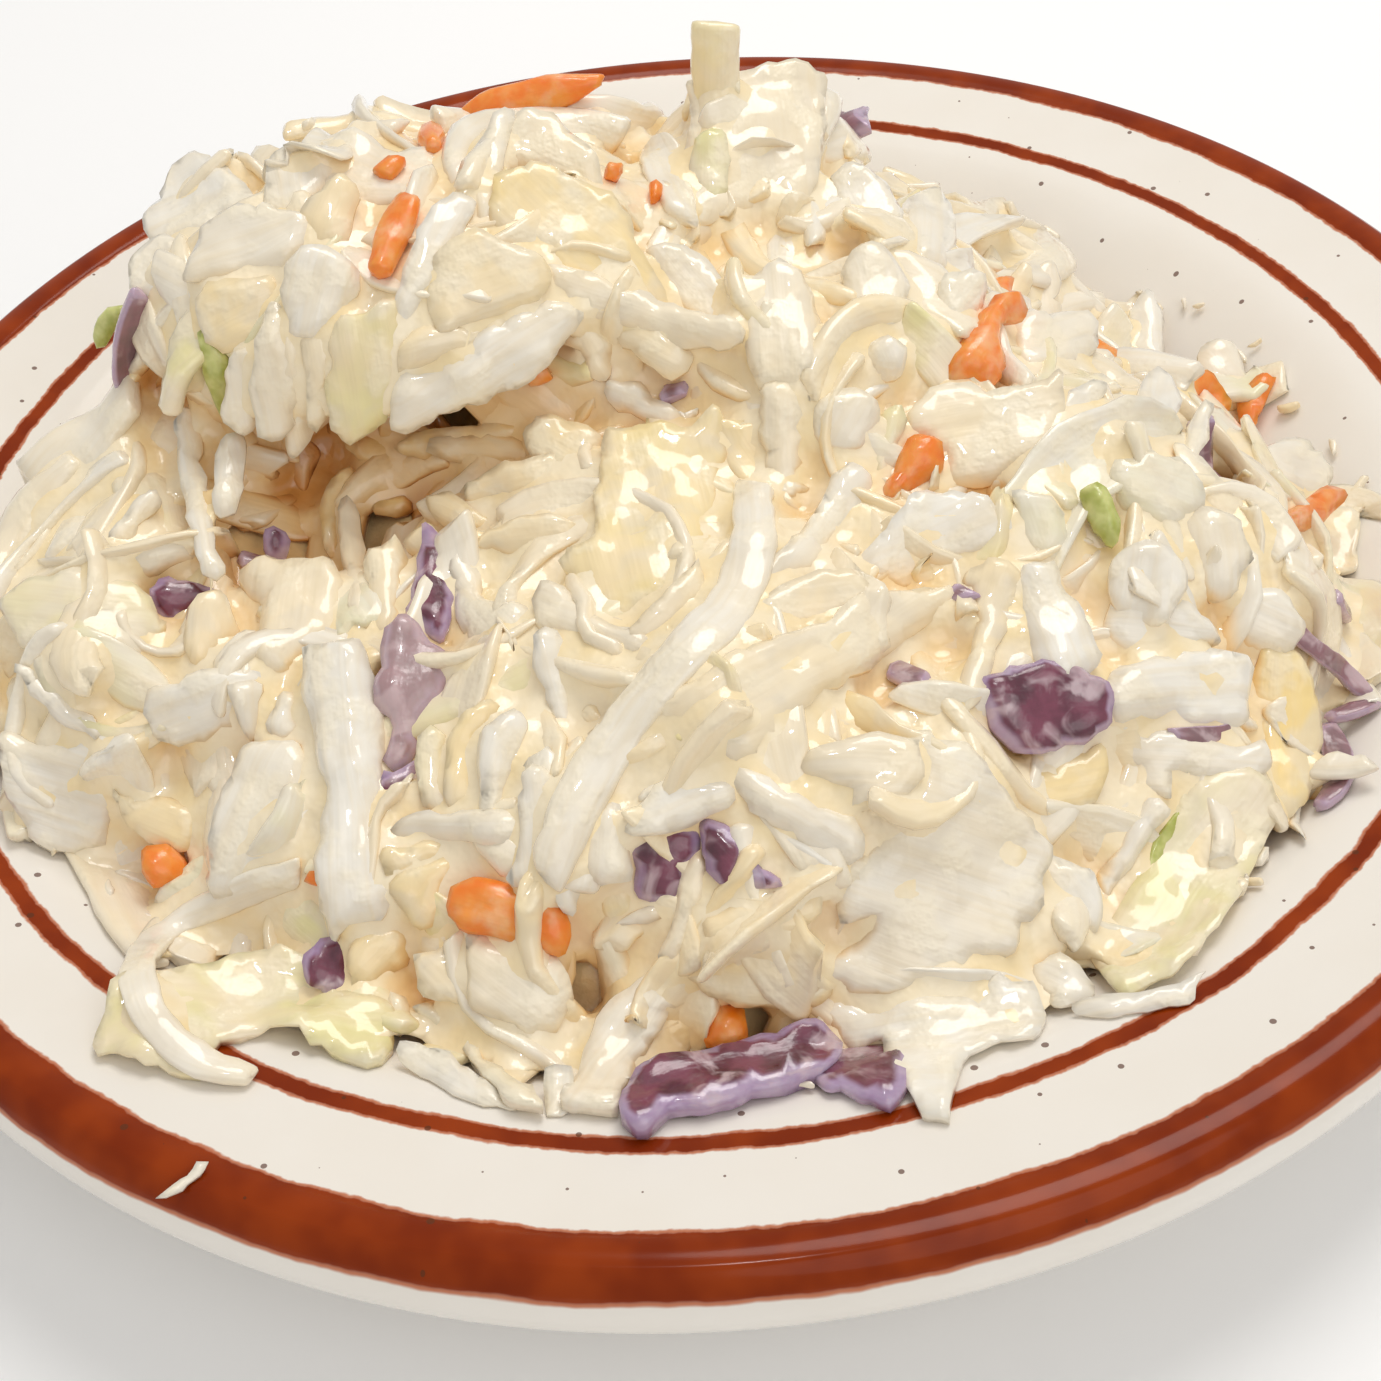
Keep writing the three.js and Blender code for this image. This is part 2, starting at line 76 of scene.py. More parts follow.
MOUNDS = [
    {"name": "pile", "centre": (0, -4, 8), "radii": (63, 59, 24), "turn": 0},
    {"name": "left wing", "centre": (-42, -10, 14), "radii": (26, 28, 18), "turn": 0},
    {"name": "front", "centre": (3, -30, 13), "radii": (31, 26, 19), "turn": 0},
    {"name": "right", "centre": (34, -9, 14), "radii": (26, 28, 20), "turn": 0},
    {"name": "middle", "centre": (9, 5, 21), "radii": (29, 27, 20), "turn": 0},
    {"name": "back", "centre": (17, 26, 11), "radii": (32, 24, 17), "turn": 0},
    {"name": "scoop", "centre": (-22, 12, 37), "radii": (27, 18, 11.3), "turn": 10},
    {"name": "back tuft", "centre": (9, 23, 34), "radii": (12, 9, 12.5), "turn": 0},
]
MOUND_BLEND = 4.0
FOOT_BLEND = 3.0
WALL_SLOPE = 0.85
# The curtain under the scoop: where it starts, how long it is, how far it leans in, its hem and its blend.
CURTAIN_TOP, CURTAIN_DROP, CURTAIN_LEAN, CURTAIN_HEM, CURTAIN_BLEND = 1.0, 20.0, 0.25, 0.8, 2.0
HEAP_MIDDLE = np.array([0.0, -3.0, 6.0])
SEARCH_RADIUS = 95.0
FARTHEST = 400.0
PLATE_GAP = 0.3
# Sampling of the bed: the step for its slope, and how often and how boldly a ray closes in on it.
SLOPE_STEP = 0.8
RAY_PASSES = 90
RAY_CAUTION = 0.8

# The core lies this deep under the heap's envelope, and its lumps rise from it.
CORE_DEPTH = 5.0
CORE_VOXEL = 1.3
CORE_PASSES, CORE_PACE = 4, 0.8


# ---- Curves and noise -------------------------------------------------------------------------------

RIPPLE_WAVES = 12


def curve(points, steps=CURVE_STEPS):
    """A Bezier curve through its control points' hull, without its first point."""
    t = np.linspace(0, 1, steps + 1)[1:, None]
    rows = [np.array(p, float) for p in points]
    while len(rows) > 1:
        rows = [a * (1 - t) + b * t for a, b in zip(rows, rows[1:])]
    return rows[0]


def unit(vectors):
    """The vectors, each made one long."""
    return vectors / np.maximum(np.linalg.norm(vectors, axis=-1, keepdims=True), 1e-9)


def ripple(points, wavelength, seed):
    """Smooth noise in space, mostly from -1 to 1: sine waves in random directions."""
    rng = np.random.default_rng(seed)
    ways = unit(rng.normal(size=(RIPPLE_WAVES, 3))) * rng.uniform(0.6, 1.5, (RIPPLE_WAVES, 1))
    phases = rng.uniform(0, 2 * math.pi, RIPPLE_WAVES)
    swings = np.sin(points @ (ways * 2 * math.pi / wavelength).T + phases)
    return swings.sum(-1) * math.sqrt(1.2 / RIPPLE_WAVES)


def wander(rng, places, knots, amount):
    """A smooth random line at places from 0 to 1, between minus and plus the amount."""
    heights = rng.uniform(-amount, amount, knots)
    spot = np.clip(places, 0, 1) * (knots - 1)
    low = np.minimum(spot.astype(int), knots - 2)
    part = spot - low
    part = part * part * (3 - 2 * part)
    return heights[low] * (1 - part) + heights[low + 1] * part


def spline(a, b, c, d, count):
    """Points on a smooth curve from b up to c, which has a before it and d after it."""
    t = np.linspace(0, 1, count, endpoint=False)[:, None]
    return 0.5 * (2 * b + (c - a) * t + (2 * a - 5 * b + 4 * c - d) * t**2 + (3 * b - a - 3 * c + d) * t**3)


def away(points, others):
    """How far each point is from the nearest of the others."""
    return np.linalg.norm(points[:, None] - others[None], axis=-1).min(1)


def smoothed(values, passes):
    """Each value moved towards its neighbours along the first axis; the ends follow."""
    for _ in range(passes):
        padded = np.concatenate([values[:1], values, values[-1:]])
        values = (padded[:-2] + 2 * padded[1:-1] + padded[2:]) / 4
    return values


# ---- What the pieces lie on -------------------------------------------------------------------------


def upper_outline():
    """The glazed upper side as radius and height, from the middle out to the crest of the rim."""
    return np.concatenate([
        [(0, FLOOR_HEIGHT), (FLOOR_RADIUS, FLOOR_HEIGHT)],
        curve([(FLOOR_RADIUS, FLOOR_HEIGHT), (FLOOR_RADIUS + 9, FLOOR_HEIGHT),
               (VERGE_RADIUS - 6, VERGE_HEIGHT - 0.6), (VERGE_RADIUS, VERGE_HEIGHT)]),
        [(BAND_RADIUS, BAND_HEIGHT)],
        curve([(BAND_RADIUS, BAND_HEIGHT), (BAND_RADIUS + 1.3, CREST_HEIGHT), CREST_END]),
    ])


GLAZE = upper_outline()


def mound_distance(points, mound):
    """About how far points are from an ellipsoid's surface, below zero inside."""
    turn = math.radians(mound["turn"])
    offset = points - np.array(mound["centre"])
    x = offset[..., 0] * math.cos(turn) + offset[..., 1] * math.sin(turn)
    y = offset[..., 1] * math.cos(turn) - offset[..., 0] * math.sin(turn)
    radii = np.array(mound["radii"], float)
    scaled = np.stack([x, y, offset[..., 2]], -1) / radii
    outside = np.linalg.norm(scaled, axis=-1)
    return outside * (outside - 1) / np.maximum(np.linalg.norm(scaled / radii, axis=-1), 1e-6)


def blended(a, b, reach):
    """The lower of two distances, rounded over where they meet."""
    share = np.clip(0.5 + 0.5 * (a - b) / reach, 0, 1)
    return a * (1 - share) + b * share - reach * share * (1 - share)


def heap_distance(points):
    """The distance to the blended mounds, below zero inside."""
    total = mound_distance(points, MOUNDS[0])
    for mound in MOUNDS[1:]:
        total = blended(total, mound_distance(points, mound), MOUND_BLEND)
    return total


def over_glaze(points):
    """How high points are over the glaze, less the gap that the heap keeps from it."""
    radius = np.hypot(points[..., 0], points[..., 1])
    return points[..., 2] - np.interp(radius, GLAZE[:, 0], GLAZE[:, 1]) - PLATE_GAP


def plain_bed(points):
    """The distance to the heap or the plate, whichever carries a piece there."""
    return blended(heap_distance(points), WALL_SLOPE * over_glaze(points), FOOT_BLEND)


def bed_distance(points):
    """The distance to the bed, which sinks at the gaps that show between the pieces."""
    total = plain_bed(points)
    for middle, radius, sink in pits:
        total = total + sink * np.exp(-((points - middle) ** 2).sum(-1) / radius**2)
    return total


def curtain(points):
    """The distance to the bed and to a curtain that hangs from the scoop's widest line, drawn in below."""
    scoop = next(mound for mound in MOUNDS if mound["name"] == "scoop")
    drop = np.clip(scoop["centre"][2] - CURTAIN_TOP - points[..., 2], 0, None)
    raised = points.copy()
    raised[..., 2] += drop
    hanging = mound_distance(raised, scoop) + CURTAIN_LEAN * drop
    hanging = np.maximum(hanging, (drop - CURTAIN_DROP) * CURTAIN_HEM)
    return blended(plain_bed(points), hanging, CURTAIN_BLEND)


def outward(points, bed=bed_distance):
    """The way straight out of the heap at each point."""
    steps = np.eye(3) * SLOPE_STEP
    slope = [bed(points + step) - bed(points - step) for step in steps]
    return unit(np.stack(slope, -1))


def settled(points, lift=0.0, passes=3, bed=bed_distance):
    """The points moved straight out of, or into, the heap until they stand off by the lift."""
    for _ in range(passes):
        points = points + outward(points, bed=bed) * (lift - bed(points))[..., None]
    return points


def struck(starts, ways, lift=0.0, bed=bed_distance):
    """Where rays first meet the bed, or a lift above it."""
    points = starts
    for _ in range(RAY_PASSES):
        points = points + ways * (RAY_CAUTION * (bed(points) - lift))[..., None]
    return points


def sight_lines(pixels):
    """The ways from the camera through these pixels."""
    offset = (np.array(pixels, float) - PHOTO_PIXELS / 2) / FOCAL_PIXELS
    return unit(CAMERA_AHEAD + offset[:, :1] * CAMERA_RIGHT + offset[:, 1:] * CAMERA_DOWN)


def seen_at(pixels, lift, bed=bed_distance):
    """The points of the bed, or of a lift above it, that the camera sees at these pixels."""
    ways = sight_lines(pixels)
    return struck(np.repeat(CAMERA_AT[None], len(ways), 0), ways, lift, bed=bed)


def depths(pixels, lift, bed=bed_distance):
    """How far from the camera the lifted bed lies at these pixels."""
    return np.linalg.norm(seen_at(pixels, lift, bed) - CAMERA_AT, axis=1)


# Gaps between the pieces: where the camera sees each, its radius and how far the bed sinks there.
GAPS = [
    ((255, 500), 6, 5), ((310, 490), 7, 6), ((370, 485), 7, 4), ((430, 475), 6, 2),
    ((270, 550), 5, 5), ((170, 595), 5, 6), ((490, 590), 4, 3), ((660, 395), 5, 4), ((440, 560), 4, 3),
    ((390, 800), 4, 3), ((420, 960), 5, 2), ((640, 960), 5, 3.5), ((230, 930), 6, 3), ((900, 640), 5, 4),
    ((1080, 820), 6, 4), ((850, 930), 4, 3), ((865, 1065), 5, 5), ((700, 870), 5, 3.5), ((1215, 650), 4, 3),
    ((420, 1010), 4, 1), ((755, 450), 4, 3), ((130, 780), 5, 4), ((812, 245), 4, 3), ((820, 490), 4, 3),
    ((930, 590), 4, 3), ((670, 1040), 4, 3), ((770, 1030), 4, 3), ((210, 760), 4, 3),
    # The back right is lower than the blended mounds make it.
    ((1020, 260), 13, 3), ((1130, 300), 15, 4), ((1220, 350), 15, 4.5), ((1300, 430), 14, 4),
]
pits = []
pits = [(seen_at([pixel], 0.0, plain_bed)[0], radius, sink) for pixel, radius, sink in GAPS]


# ---- Meshes -----------------------------------------------------------------------------------------


def filled(mesh, points, quads, tris):
    """Gives an empty mesh these points and faces, shaded smooth."""
    corners = np.concatenate([quads.ravel(), tris.ravel()]).astype(np.int32)
    starts = np.concatenate([np.arange(len(quads)) * 4, 4 * len(quads) + np.arange(len(tris)) * 3])
    mesh.vertices.add(len(points))
    mesh.vertices.foreach_set("co", points.astype(np.float32).ravel())
    mesh.loops.add(len(corners))
    mesh.loops.foreach_set("vertex_index", corners)
    mesh.polygons.add(len(starts))
    mesh.polygons.foreach_set("loop_start", starts.astype(np.int32))
    mesh.polygons.foreach_set("use_smooth", np.ones(len(starts), bool))
    mesh.update(calc_edges=True)


def quad_sides(quads):
    """The sides of quads, each once, by their two points."""
    sides = np.concatenate([quads[:, [0, 1]], quads[:, [1, 2]], quads[:, [2, 3]], quads[:, [3, 0]]])
    return np.unique(np.sort(sides, 1), axis=0)


def remeshed(body, voxel):
    """The points and quads of a body's outer surface, made anew in voxels. The body itself goes."""
    remesh = body.modifiers.new("fuse", "REMESH")
    remesh.mode = "VOXEL"
    remesh.voxel_size = voxel
    result = body.evaluated_get(bpy.context.evaluated_depsgraph_get()).to_mesh()
    points = np.zeros(len(result.vertices) * 3)
    result.vertices.foreach_get("co", points)
    corners = np.zeros(len(result.loops), np.int32)
    result.loops.foreach_get("vertex_index", corners)
    bpy.data.objects.remove(body)
    return points.reshape(-1, 3), corners.reshape(-1, 4)


NO_TRIS = np.zeros((0, 3), int)


class Skin:
    """Points, faces and per-point values of many closed pieces, gathered for one mesh."""

    def __init__(self):
        self.points, self.quads, self.tris, self.values = [], [], [], []
        self.count = 0

    def add(self, points, quads, tris, values):
        self.points.append(points)
        self.quads.append(quads + self.count)
        self.tris.append(tris + self.count)
        self.values.append(values)
        self.count += len(points)

    def made(self, name, material, slot="slaw", replaces=("slaw",)):
        """One mesh of all the pieces, in metres, as a visible piece."""
        points, quads, tris = (np.concatenate(parts) for parts in (self.points, self.quads, self.tris))
        mesh = bpy.data.meshes.new(name)
        filled(mesh, points * MM, quads, tris)
        mesh.validate()
        normals = np.zeros(len(points) * 3, np.float32)
        mesh.vertices.foreach_get("normal", normals)
        # closed: how shut in each point lies, which the paints turn into painted shade.
        closed = crowding.closed(points, normals.reshape(-1, 3)) if crowding.fields else np.zeros(len(points))
        values = {"closed": closed}
        values.update({key: np.concatenate([part[key] for part in self.values]) for key in self.values[0]})
        for key, data in values.items():
            mesh.attributes.new(key, "FLOAT", "POINT").data.foreach_set("value", data.astype(np.float32))
        piece = bpy.data.objects.new(name, mesh)
        bpy.context.scene.collection.objects.link(piece)
        mesh.materials.append(material)
        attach(piece, "root")
        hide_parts(*replaces)


def lathed(outline, segments):
    """Rings of the outline about Z, and the quads between them. The first and last points lie on the axis."""
    turns = np.linspace(0, 2 * math.pi, segments, endpoint=False)
    rings = np.stack([
        outline[1:-1, :1] * np.cos(turns),
        outline[1:-1, :1] * np.sin(turns),
        np.repeat(outline[1:-1, 1:], segments, 1),
    ], -1)
    rows = len(rings)
    points = np.concatenate([rings.reshape(-1, 3), [(0, 0, outline[0, 1])], [(0, 0, outline[-1, 1])]])
    here = np.arange(rows * segments).reshape(rows, segments)
    ahead = np.roll(here, -1, 1)
    quads = np.stack([here[:-1], here[1:], ahead[1:], ahead[:-1]], -1).reshape(-1, 4)
    first, last = rows * segments, rows * segments + 1
    fan_in = np.stack([np.full(segments, first), here[0], ahead[0]], -1)
    fan_out = np.stack([here[-1], np.full(segments, last), ahead[-1]], -1)
    return points, quads, np.concatenate([fan_in, fan_out])


def plate_outline():
    """The whole section as radius and height, over the rim and back along the underside to the middle."""
    return np.concatenate([
        upper_outline(),
        curve([CREST_END, (PLATE_RADIUS, CREST_HEIGHT - 1.4), (PLATE_RADIUS, LIP_HEIGHT)]),
        curve([(PLATE_RADIUS, LIP_HEIGHT), (PLATE_RADIUS, LIP_UNDERSIDE), (LIP_INNER_RADIUS, LIP_UNDERSIDE)]),
        [(VERGE_RADIUS, WALL_UNDERSIDE)],
        curve([(VERGE_RADIUS, WALL_UNDERSIDE), (VERGE_RADIUS - 8, WALL_UNDERSIDE - 2),
               (FOOT_OUTER_RADIUS + 8, FOOT_DEPTH), FOOT_TOP]),
        curve([FOOT_TOP, (FOOT_OUTER_RADIUS, 0), (FOOT_OUTER_RADIUS - 1, 0)], 4),
        curve([(FOOT_INNER_RADIUS + 1, 0), (FOOT_INNER_RADIUS, 0), (FOOT_INNER_RADIUS - 1.4, FOOT_DEPTH)], 4),
        [(0, FOOT_DEPTH)],
    ])


# ---- The pile: what later pieces come to rest on ----------------------------------------------------


class Pile:
    """The upper sides of everything placed so far, coarse, for the next pieces to rest on."""

    REACH, DEPTH = 7.0, 9.0

    def __init__(self):
        self.points, self.faces, self.trees = [], [], []
        self.kept = (0, 0)

    def add(self, points, faces):
        start = len(self.points)
        self.points.extend(points.tolist())
        self.faces.extend((faces + start).tolist())

    def add_grid(self, grid):
        """A piece's upper side, as rows of points."""
        rows, columns = grid.shape[:2]
        here = np.arange(rows * columns).reshape(rows, columns)
        quads = np.stack([here[:-1, :-1], here[1:, :-1], here[1:, 1:], here[:-1, 1:]], -1)
        self.add(grid.reshape(-1, 3), quads.reshape(-1, 4))

    def refresh(self):
        """One tree of everything so far."""
        self.trees = [BVHTree.FromPolygons(self.points, self.faces)]
        self.kept = (len(self.points), len(self.faces))

    def top_up(self):
        """A further tree of what has come since, which is quicker."""
        start, first = self.kept
        faces = [[corner - start for corner in face] for face in self.faces[first:]]
        if faces:
            self.trees.append(BVHTree.FromPolygons(self.points[start:], faces))
            self.kept = (len(self.points), len(self.faces))

    def height(self, points, normals):
        """How high above the bed the pile reaches at each point."""
        found = np.full(len(points), -self.DEPTH)
        starts = points + self.REACH * normals
        for i in range(len(points)):
            start, way = Vector(starts[i]), Vector(-normals[i])
            for tree in self.trees:
                hit = tree.ray_cast(start, way, self.REACH - found[i])
                if hit[0] is not None:
                    found[i] = self.REACH - hit[3]
        return found

    def seen(self, ways):
        """How far from the camera the pile is along each sight line."""
        found = np.full(len(ways), FARTHEST)
        start = Vector(CAMERA_AT)
        for i in range(len(ways)):
            for tree in self.trees:
                hit = tree.ray_cast(start, Vector(ways[i]), found[i])
                if hit[0] is not None:
                    found[i] = hit[3]
        return found


pile = Pile()


class Crowding:
    """How full of food the space is around any place, from samples of every piece, blurred."""

    CELL = 1.5
    LOW = np.array([-90.0, -90.0, -3.0])
    SIZE = (120, 120, 44)
    NEAR, FAR, WIDE = 1.8, 4.5, 8.0

    def __init__(self):
        self.fill = np.zeros(self.SIZE)
        self.fields = None

    def add(self, points, volume):
        """Samples of a piece, each standing for that volume in cubic millimetres."""
        cells = ((points - self.LOW) / self.CELL).astype(int)
        cells = np.clip(cells, 0, np.array(self.SIZE) - 1)
        np.add.at(self.fill, tuple(cells.reshape(-1, 3).T), volume / self.CELL**3)

    def settle(self):
        """Blurs what is full, once every piece is in."""
        middles = [low + (np.arange(size) + 0.5) * self.CELL for low, size in zip(self.LOW, self.SIZE)]
        places = np.stack(np.meshgrid(*middles, indexing="ij"), -1)
        full = np.where(bed_distance(places) < -CORE_DEPTH, 1.0, np.clip(self.fill, 0, 1))
        self.fields = [self.blurred(full, reach / self.CELL) for reach in (self.NEAR, self.FAR, self.WIDE)]

    @staticmethod
    def blurred(field, reach):
        """The field spread by a bell curve of that reach, in cells."""
        taps = np.arange(-int(3 * reach), int(3 * reach) + 1)
        weights = np.exp(-0.5 * (taps / reach) ** 2)
        weights = weights / weights.sum()
        for axis in range(3):
            field = sum(w * np.roll(field, tap, axis) for tap, w in zip(taps, weights))
        return field

    def closed(self, points, normals):
        """From 0 in the open to 1 deep between the pieces or under an overhang; the paints turn it into
        painted shade.
        """
        normals = unit(normals + outward(points))
        near, far, wide = (
            self.sampled(field, points + normals * reach)
            for field, reach in zip(self.fields, (self.NEAR, self.FAR, self.WIDE))
        )
        crowded = ((near + far) / 2 - OPEN_CROWDING) / (CLOSED_CROWDING - OPEN_CROWDING)
        covered = np.clip((wide - OPEN_WIDE) / (CLOSED_WIDE - OPEN_WIDE), 0, 1)
        return np.clip(crowded + COVERED_SHARE * covered, 0, 1)

    def sampled(self, field, points):
        """The field's value at the points, blended between its cells."""
        spot = np.clip((points - self.LOW) / self.CELL - 0.5, 0, np.array(self.SIZE) - 1.001)
        low = spot.astype(int)
        part = spot - low
        value = 0
        for corner in range(8):
            step = np.array([corner & 1, corner >> 1 & 1, corner >> 2])
            share = np.prod(np.where(step, part, 1 - part), -1)
            value = value + share * field[tuple((low + step).T)]
        return value


# How full the near and far space is in the open and deep inside, the same for the wide one, and its share.
OPEN_CROWDING = 0.13
CLOSED_CROWDING = 0.47
OPEN_WIDE, CLOSED_WIDE = 0.16, 0.42
COVERED_SHARE = 0.35
crowding = Crowding()


# ---- Pieces -----------------------------------------------------------------------------------------

# How far a piece's underside stands off the glaze, and its upper side besides, as a share of its thickness.
STAND_OFF = 0.12
STAND_SHARE = 0.8
SEED_END = 1 << 30
END_BULGE = 0.12


def resampled(route, normals, spacing):
    """The route at even steps, with close rows at each end so that a cut end stays crisp."""
    steps = np.linalg.norm(np.diff(route, axis=0), axis=1)
    places = np.concatenate([[0], np.cumsum(steps)])
    length = places[-1]
    tuck = min(0.5, length / 8)
    count = max(3, int(round((length - 2 * tuck) / spacing)) + 1)
    middle = np.linspace(tuck, length - tuck, count)
    wanted = np.concatenate([[0, tuck / 3], middle, [length - tuck / 3, length]])
    both = np.concatenate([route, normals], 1)
    both = np.stack([np.interp(wanted, places, column) for column in both.T], -1)
    return both[:, :3], unit(both[:, 3:]), wanted, length


def section(columns, roundness):
    """Places across a strip from -1 to 1 with their heights in half thicknesses, once round its section."""
    inner = np.concatenate([[-0.95], np.linspace(-0.8, 0.8, columns), [0.95]])
    height = (1 - np.abs(inner) ** roundness) ** (1 / roundness)
    across = np.concatenate([inner, [1.0], inner[::-1], [-1.0]])
    level = np.concatenate([height, [0.0], -height[::-1], [0.0]])
    return across, level, len(inner)


def tapered(places, length, width, ends):
    """How wide one side is along a piece: each end narrows by its own share over a width and a half."""
    reach = 1.5 * width
    start = np.clip(places / reach, 0, 1)
    finish = np.clip((length - places) / reach, 0, 1)
    return (1 - ends[0] * (1 - start) ** 1.5) * (1 - ends[1] * (1 - finish) ** 1.5)


def point_values(look, count, along, across, edge):
    """What the materials read at each point of a piece: its tints and number, and the point's place on it."""
    own = {"tint": look.get("tint", 0.5), "green": look.get("green", 0.0), "own": look["seed"] % 97 * 1.0}
    values = {key: np.full(count, value) for key, value in own.items()}
    return {**values, "along": along, "across": across, "edge": edge}


def ribbon(skin, centres, normals, places, length, look, rng):
    """A closed strip or leaf along its centres. look holds its sizes and its finish."""
    rows = len(centres)
    t = places / length
    along = unit(np.gradient(centres, axis=0))
    side = unit(np.cross(along, normals))
    face = np.cross(side, along)
    width, thickness = look["width"], look["thickness"]
    columns = max(3, int(round(width / 1.6)) + 1)
    across, level, wide = section(columns, float(np.clip(0.9 * width / thickness, 2.2, 6.0)))
    wedge = 1 + look.get("wedge", 0.0) * across
    knots = max(4, int(length / look.get("notch", 5)) + 3)
    ragged = look.get("ragged", 0.12)
    points_to = look.get("pointed", (0.15, 0.15, 0.15, 0.15))
    half_right = width / 2 * (tapered(places, length, width, points_to[:2]) + wander(rng, t, knots, ragged))
    half_left = width / 2 * (tapered(places, length, width, points_to[2:]) + wander(rng, t, knots, ragged))
    blunt = np.ones(rows)
    blunt[:2] = blunt[:-3:-1] = (0.8, 0.95)
    flat = np.ones(rows)
    flat[:2] = flat[:-3:-1] = (0.4, 0.8)
    reach = np.where(across > 0, half_right[:, None], half_left[:, None]) * across * blunt[:, None]
    depth = thickness / 2 * flat * (1 + wander(rng, t, knots, 0.2))
    rise = level * wedge * depth[:, None]
    rise = rise + look.get("cup", 0.0) * (reach / width) ** 2 * 4
    wave = look.get("wave", 0.0)
    if wave:
        pace = 2 * math.pi * places[:, None] / look.get("wavelength", 7.0)
        phases = rng.uniform(0, 2 * math.pi, 2)
        swing = np.where(across > 0, np.sin(pace + phases[0]), np.sin(1.13 * pace + phases[1]))
        rise = rise + wave * np.abs(across) ** 1.6 * swing
    slants = rng.uniform(-1, 1, 2) * look.get("slant", 0.7)
    near = np.exp(-((places / (0.6 * width)) ** 2))
    far = np.exp(-(((length - places) / (0.6 * width)) ** 2))
    torn = [wander(rng, (across + 1) / 2, 5, look.get("torn", 0.12) * width) for _ in range(2)]
    shift = near[:, None] * (slants[0] * reach + torn[0]) + far[:, None] * (slants[1] * reach + torn[1])
    points = (
        centres[:, None]
        + side[:, None] * reach[..., None]
        + face[:, None] * rise[..., None]
        + along[:, None] * shift[..., None]
    )
    lump = look.get("lump", 0.09)
    shove = lump * (ripple(points, 3.6, look["seed"]) + 0.5 * ripple(points, 1.6, look["seed"] + 1))
    ways = face[:, None] * level[:, None] + side[:, None] * across[:, None] ** 5 * 0.8
    points = points + ways * shove[..., None]
    ring = len(across)
    bulge = np.stack([-along[0], along[-1]]) * END_BULGE * thickness
    ends = np.stack([points[0].mean(0), points[-1].mean(0)]) + bulge
    every = np.concatenate([points.reshape(-1, 3), ends])
    tops = np.concatenate([np.tile(level + 1, rows), [1, 1]]) / 2
    every = cleared(every, STAND_OFF + STAND_SHARE * thickness * tops)
    here = np.arange(rows * ring).reshape(rows, ring)
    ahead = np.roll(here, -1, 1)
    quads = np.stack([here[:-1], ahead[:-1], ahead[1:], here[1:]], -1).reshape(-1, 4)
    first, last = rows * ring, rows * ring + 1
    tris = np.concatenate([
        np.stack([np.full(ring, first), ahead[0], here[0]], -1),
        np.stack([np.full(ring, last), here[-1], ahead[-1]], -1),
    ])
    rim = np.abs(across) ** 8
    close = np.minimum(places, length - places)
    edge = np.maximum(np.repeat(rim[None], rows, 0), np.exp(-((close / 0.5) ** 2))[:, None])
    fields = [np.repeat(places[:, None], ring, 1), reach, edge]
    padded = [np.append(field, [field[0, 0], field[-1, -1]]) for field in fields]
    skin.add(every, quads, tris, point_values(look, len(every), *padded))
    pile.add_grid(points[::2, [0, wide // 2, wide - 1]])
    middle = 0.5 * (points[:, 1:wide - 1] + points[:, 2 * wide - 1:wide + 1:-1])
    crowding.add(middle, length * width * thickness * 0.85 / (rows * (wide - 2)))


def cleared(points, stand_off=STAND_OFF):
    """Points kept above the glaze by their stand-off, in millimetres."""
    low = over_glaze(points) + PLATE_GAP
    points = points.copy()
    points[:, 2] += np.maximum(stand_off - low, 0)
    return points


# How far a piece presses into the pile, how far it may rise over its layer, and the length of its sways.
SINK = 0.5
HEADROOM = 0.8
SWAY_LENGTH = 6.0


def laid(route, normals, look, cap, rng):
    """A bed route raised until the piece rests on the pile, as stiff as the piece is."""
    width, thickness = look["width"], look["thickness"]
    along = unit(np.gradient(route, axis=0))
    side = unit(np.cross(along, normals))
    arm = 0.34 * width
    left = pile.height(route - side * arm, normals)
    middle = pile.height(route, normals)
    right = pile.height(route + side * arm, normals)
    held = np.maximum(middle, 0.5 * (left + right)) - SINK
    rest = held
    for _ in range(look.get("stiff", 10)):
        rest = np.maximum(smoothed(rest, 2), held)
    rest = smoothed(rest, 2)
    rest = np.where(rest > cap, cap + 0.35 * (rest - cap), rest)
    roll = np.arctan2(smoothed(right - left, 6), 2 * arm)
    roll = np.clip(roll, -0.6, 0.6) * 0.8 + look.get("tilt", 0.0)
    twist = look.get("twist", 0.0) * np.linspace(-1, 1, len(route))
    roll = roll + twist
    t = np.linspace(0, 1, len(route))
    curl = look.get("curl", (0.0, 0.0))
    loft = curl[0] * np.clip(1 - 2.2 * t, 0, 1) ** 2 + curl[1] * np.clip(2.2 * t - 1.2, 0, 1) ** 2
    loft = loft + look.get("lean", 0.0) * (2 * t - 1)
    knots = max(3, int(len(route) * 1.2 / SWAY_LENGTH) + 2)
    loft = loft + wander(rng, t, knots, look.get("sway", 0.5))
    roll = roll + wander(rng, t, knots, look.get("sway_roll", 0.25))
    centres = route + normals * (rest + thickness / 2 + loft)[:, None]
    turned = normals * np.cos(roll)[:, None] - side * np.sin(roll)[:, None]
    return smoothed(centres, 2), unit(smoothed(turned, 2))


def walked(middles, headings, lengths, bends, steps):
    """Routes over the bed both ways from their middles, all pieces at once."""
    halves = []
    for way in (1, -1):
        points, along = middles, headings * way
        walk = []
        for _ in range(steps):
            normals = outward(points)
            along = unit(along - normals * (along * normals).sum(-1, keepdims=True))
            turn = (way * bends)[:, None]
            along = along * np.cos(turn) + np.cross(normals, along) * np.sin(turn)
            points = settled(points + along * (lengths / 2 / steps)[:, None], passes=2)
            walk.append(points)
        halves.append(walk)
    return np.stack(halves[1][::-1] + [middles] + halves[0], 1)


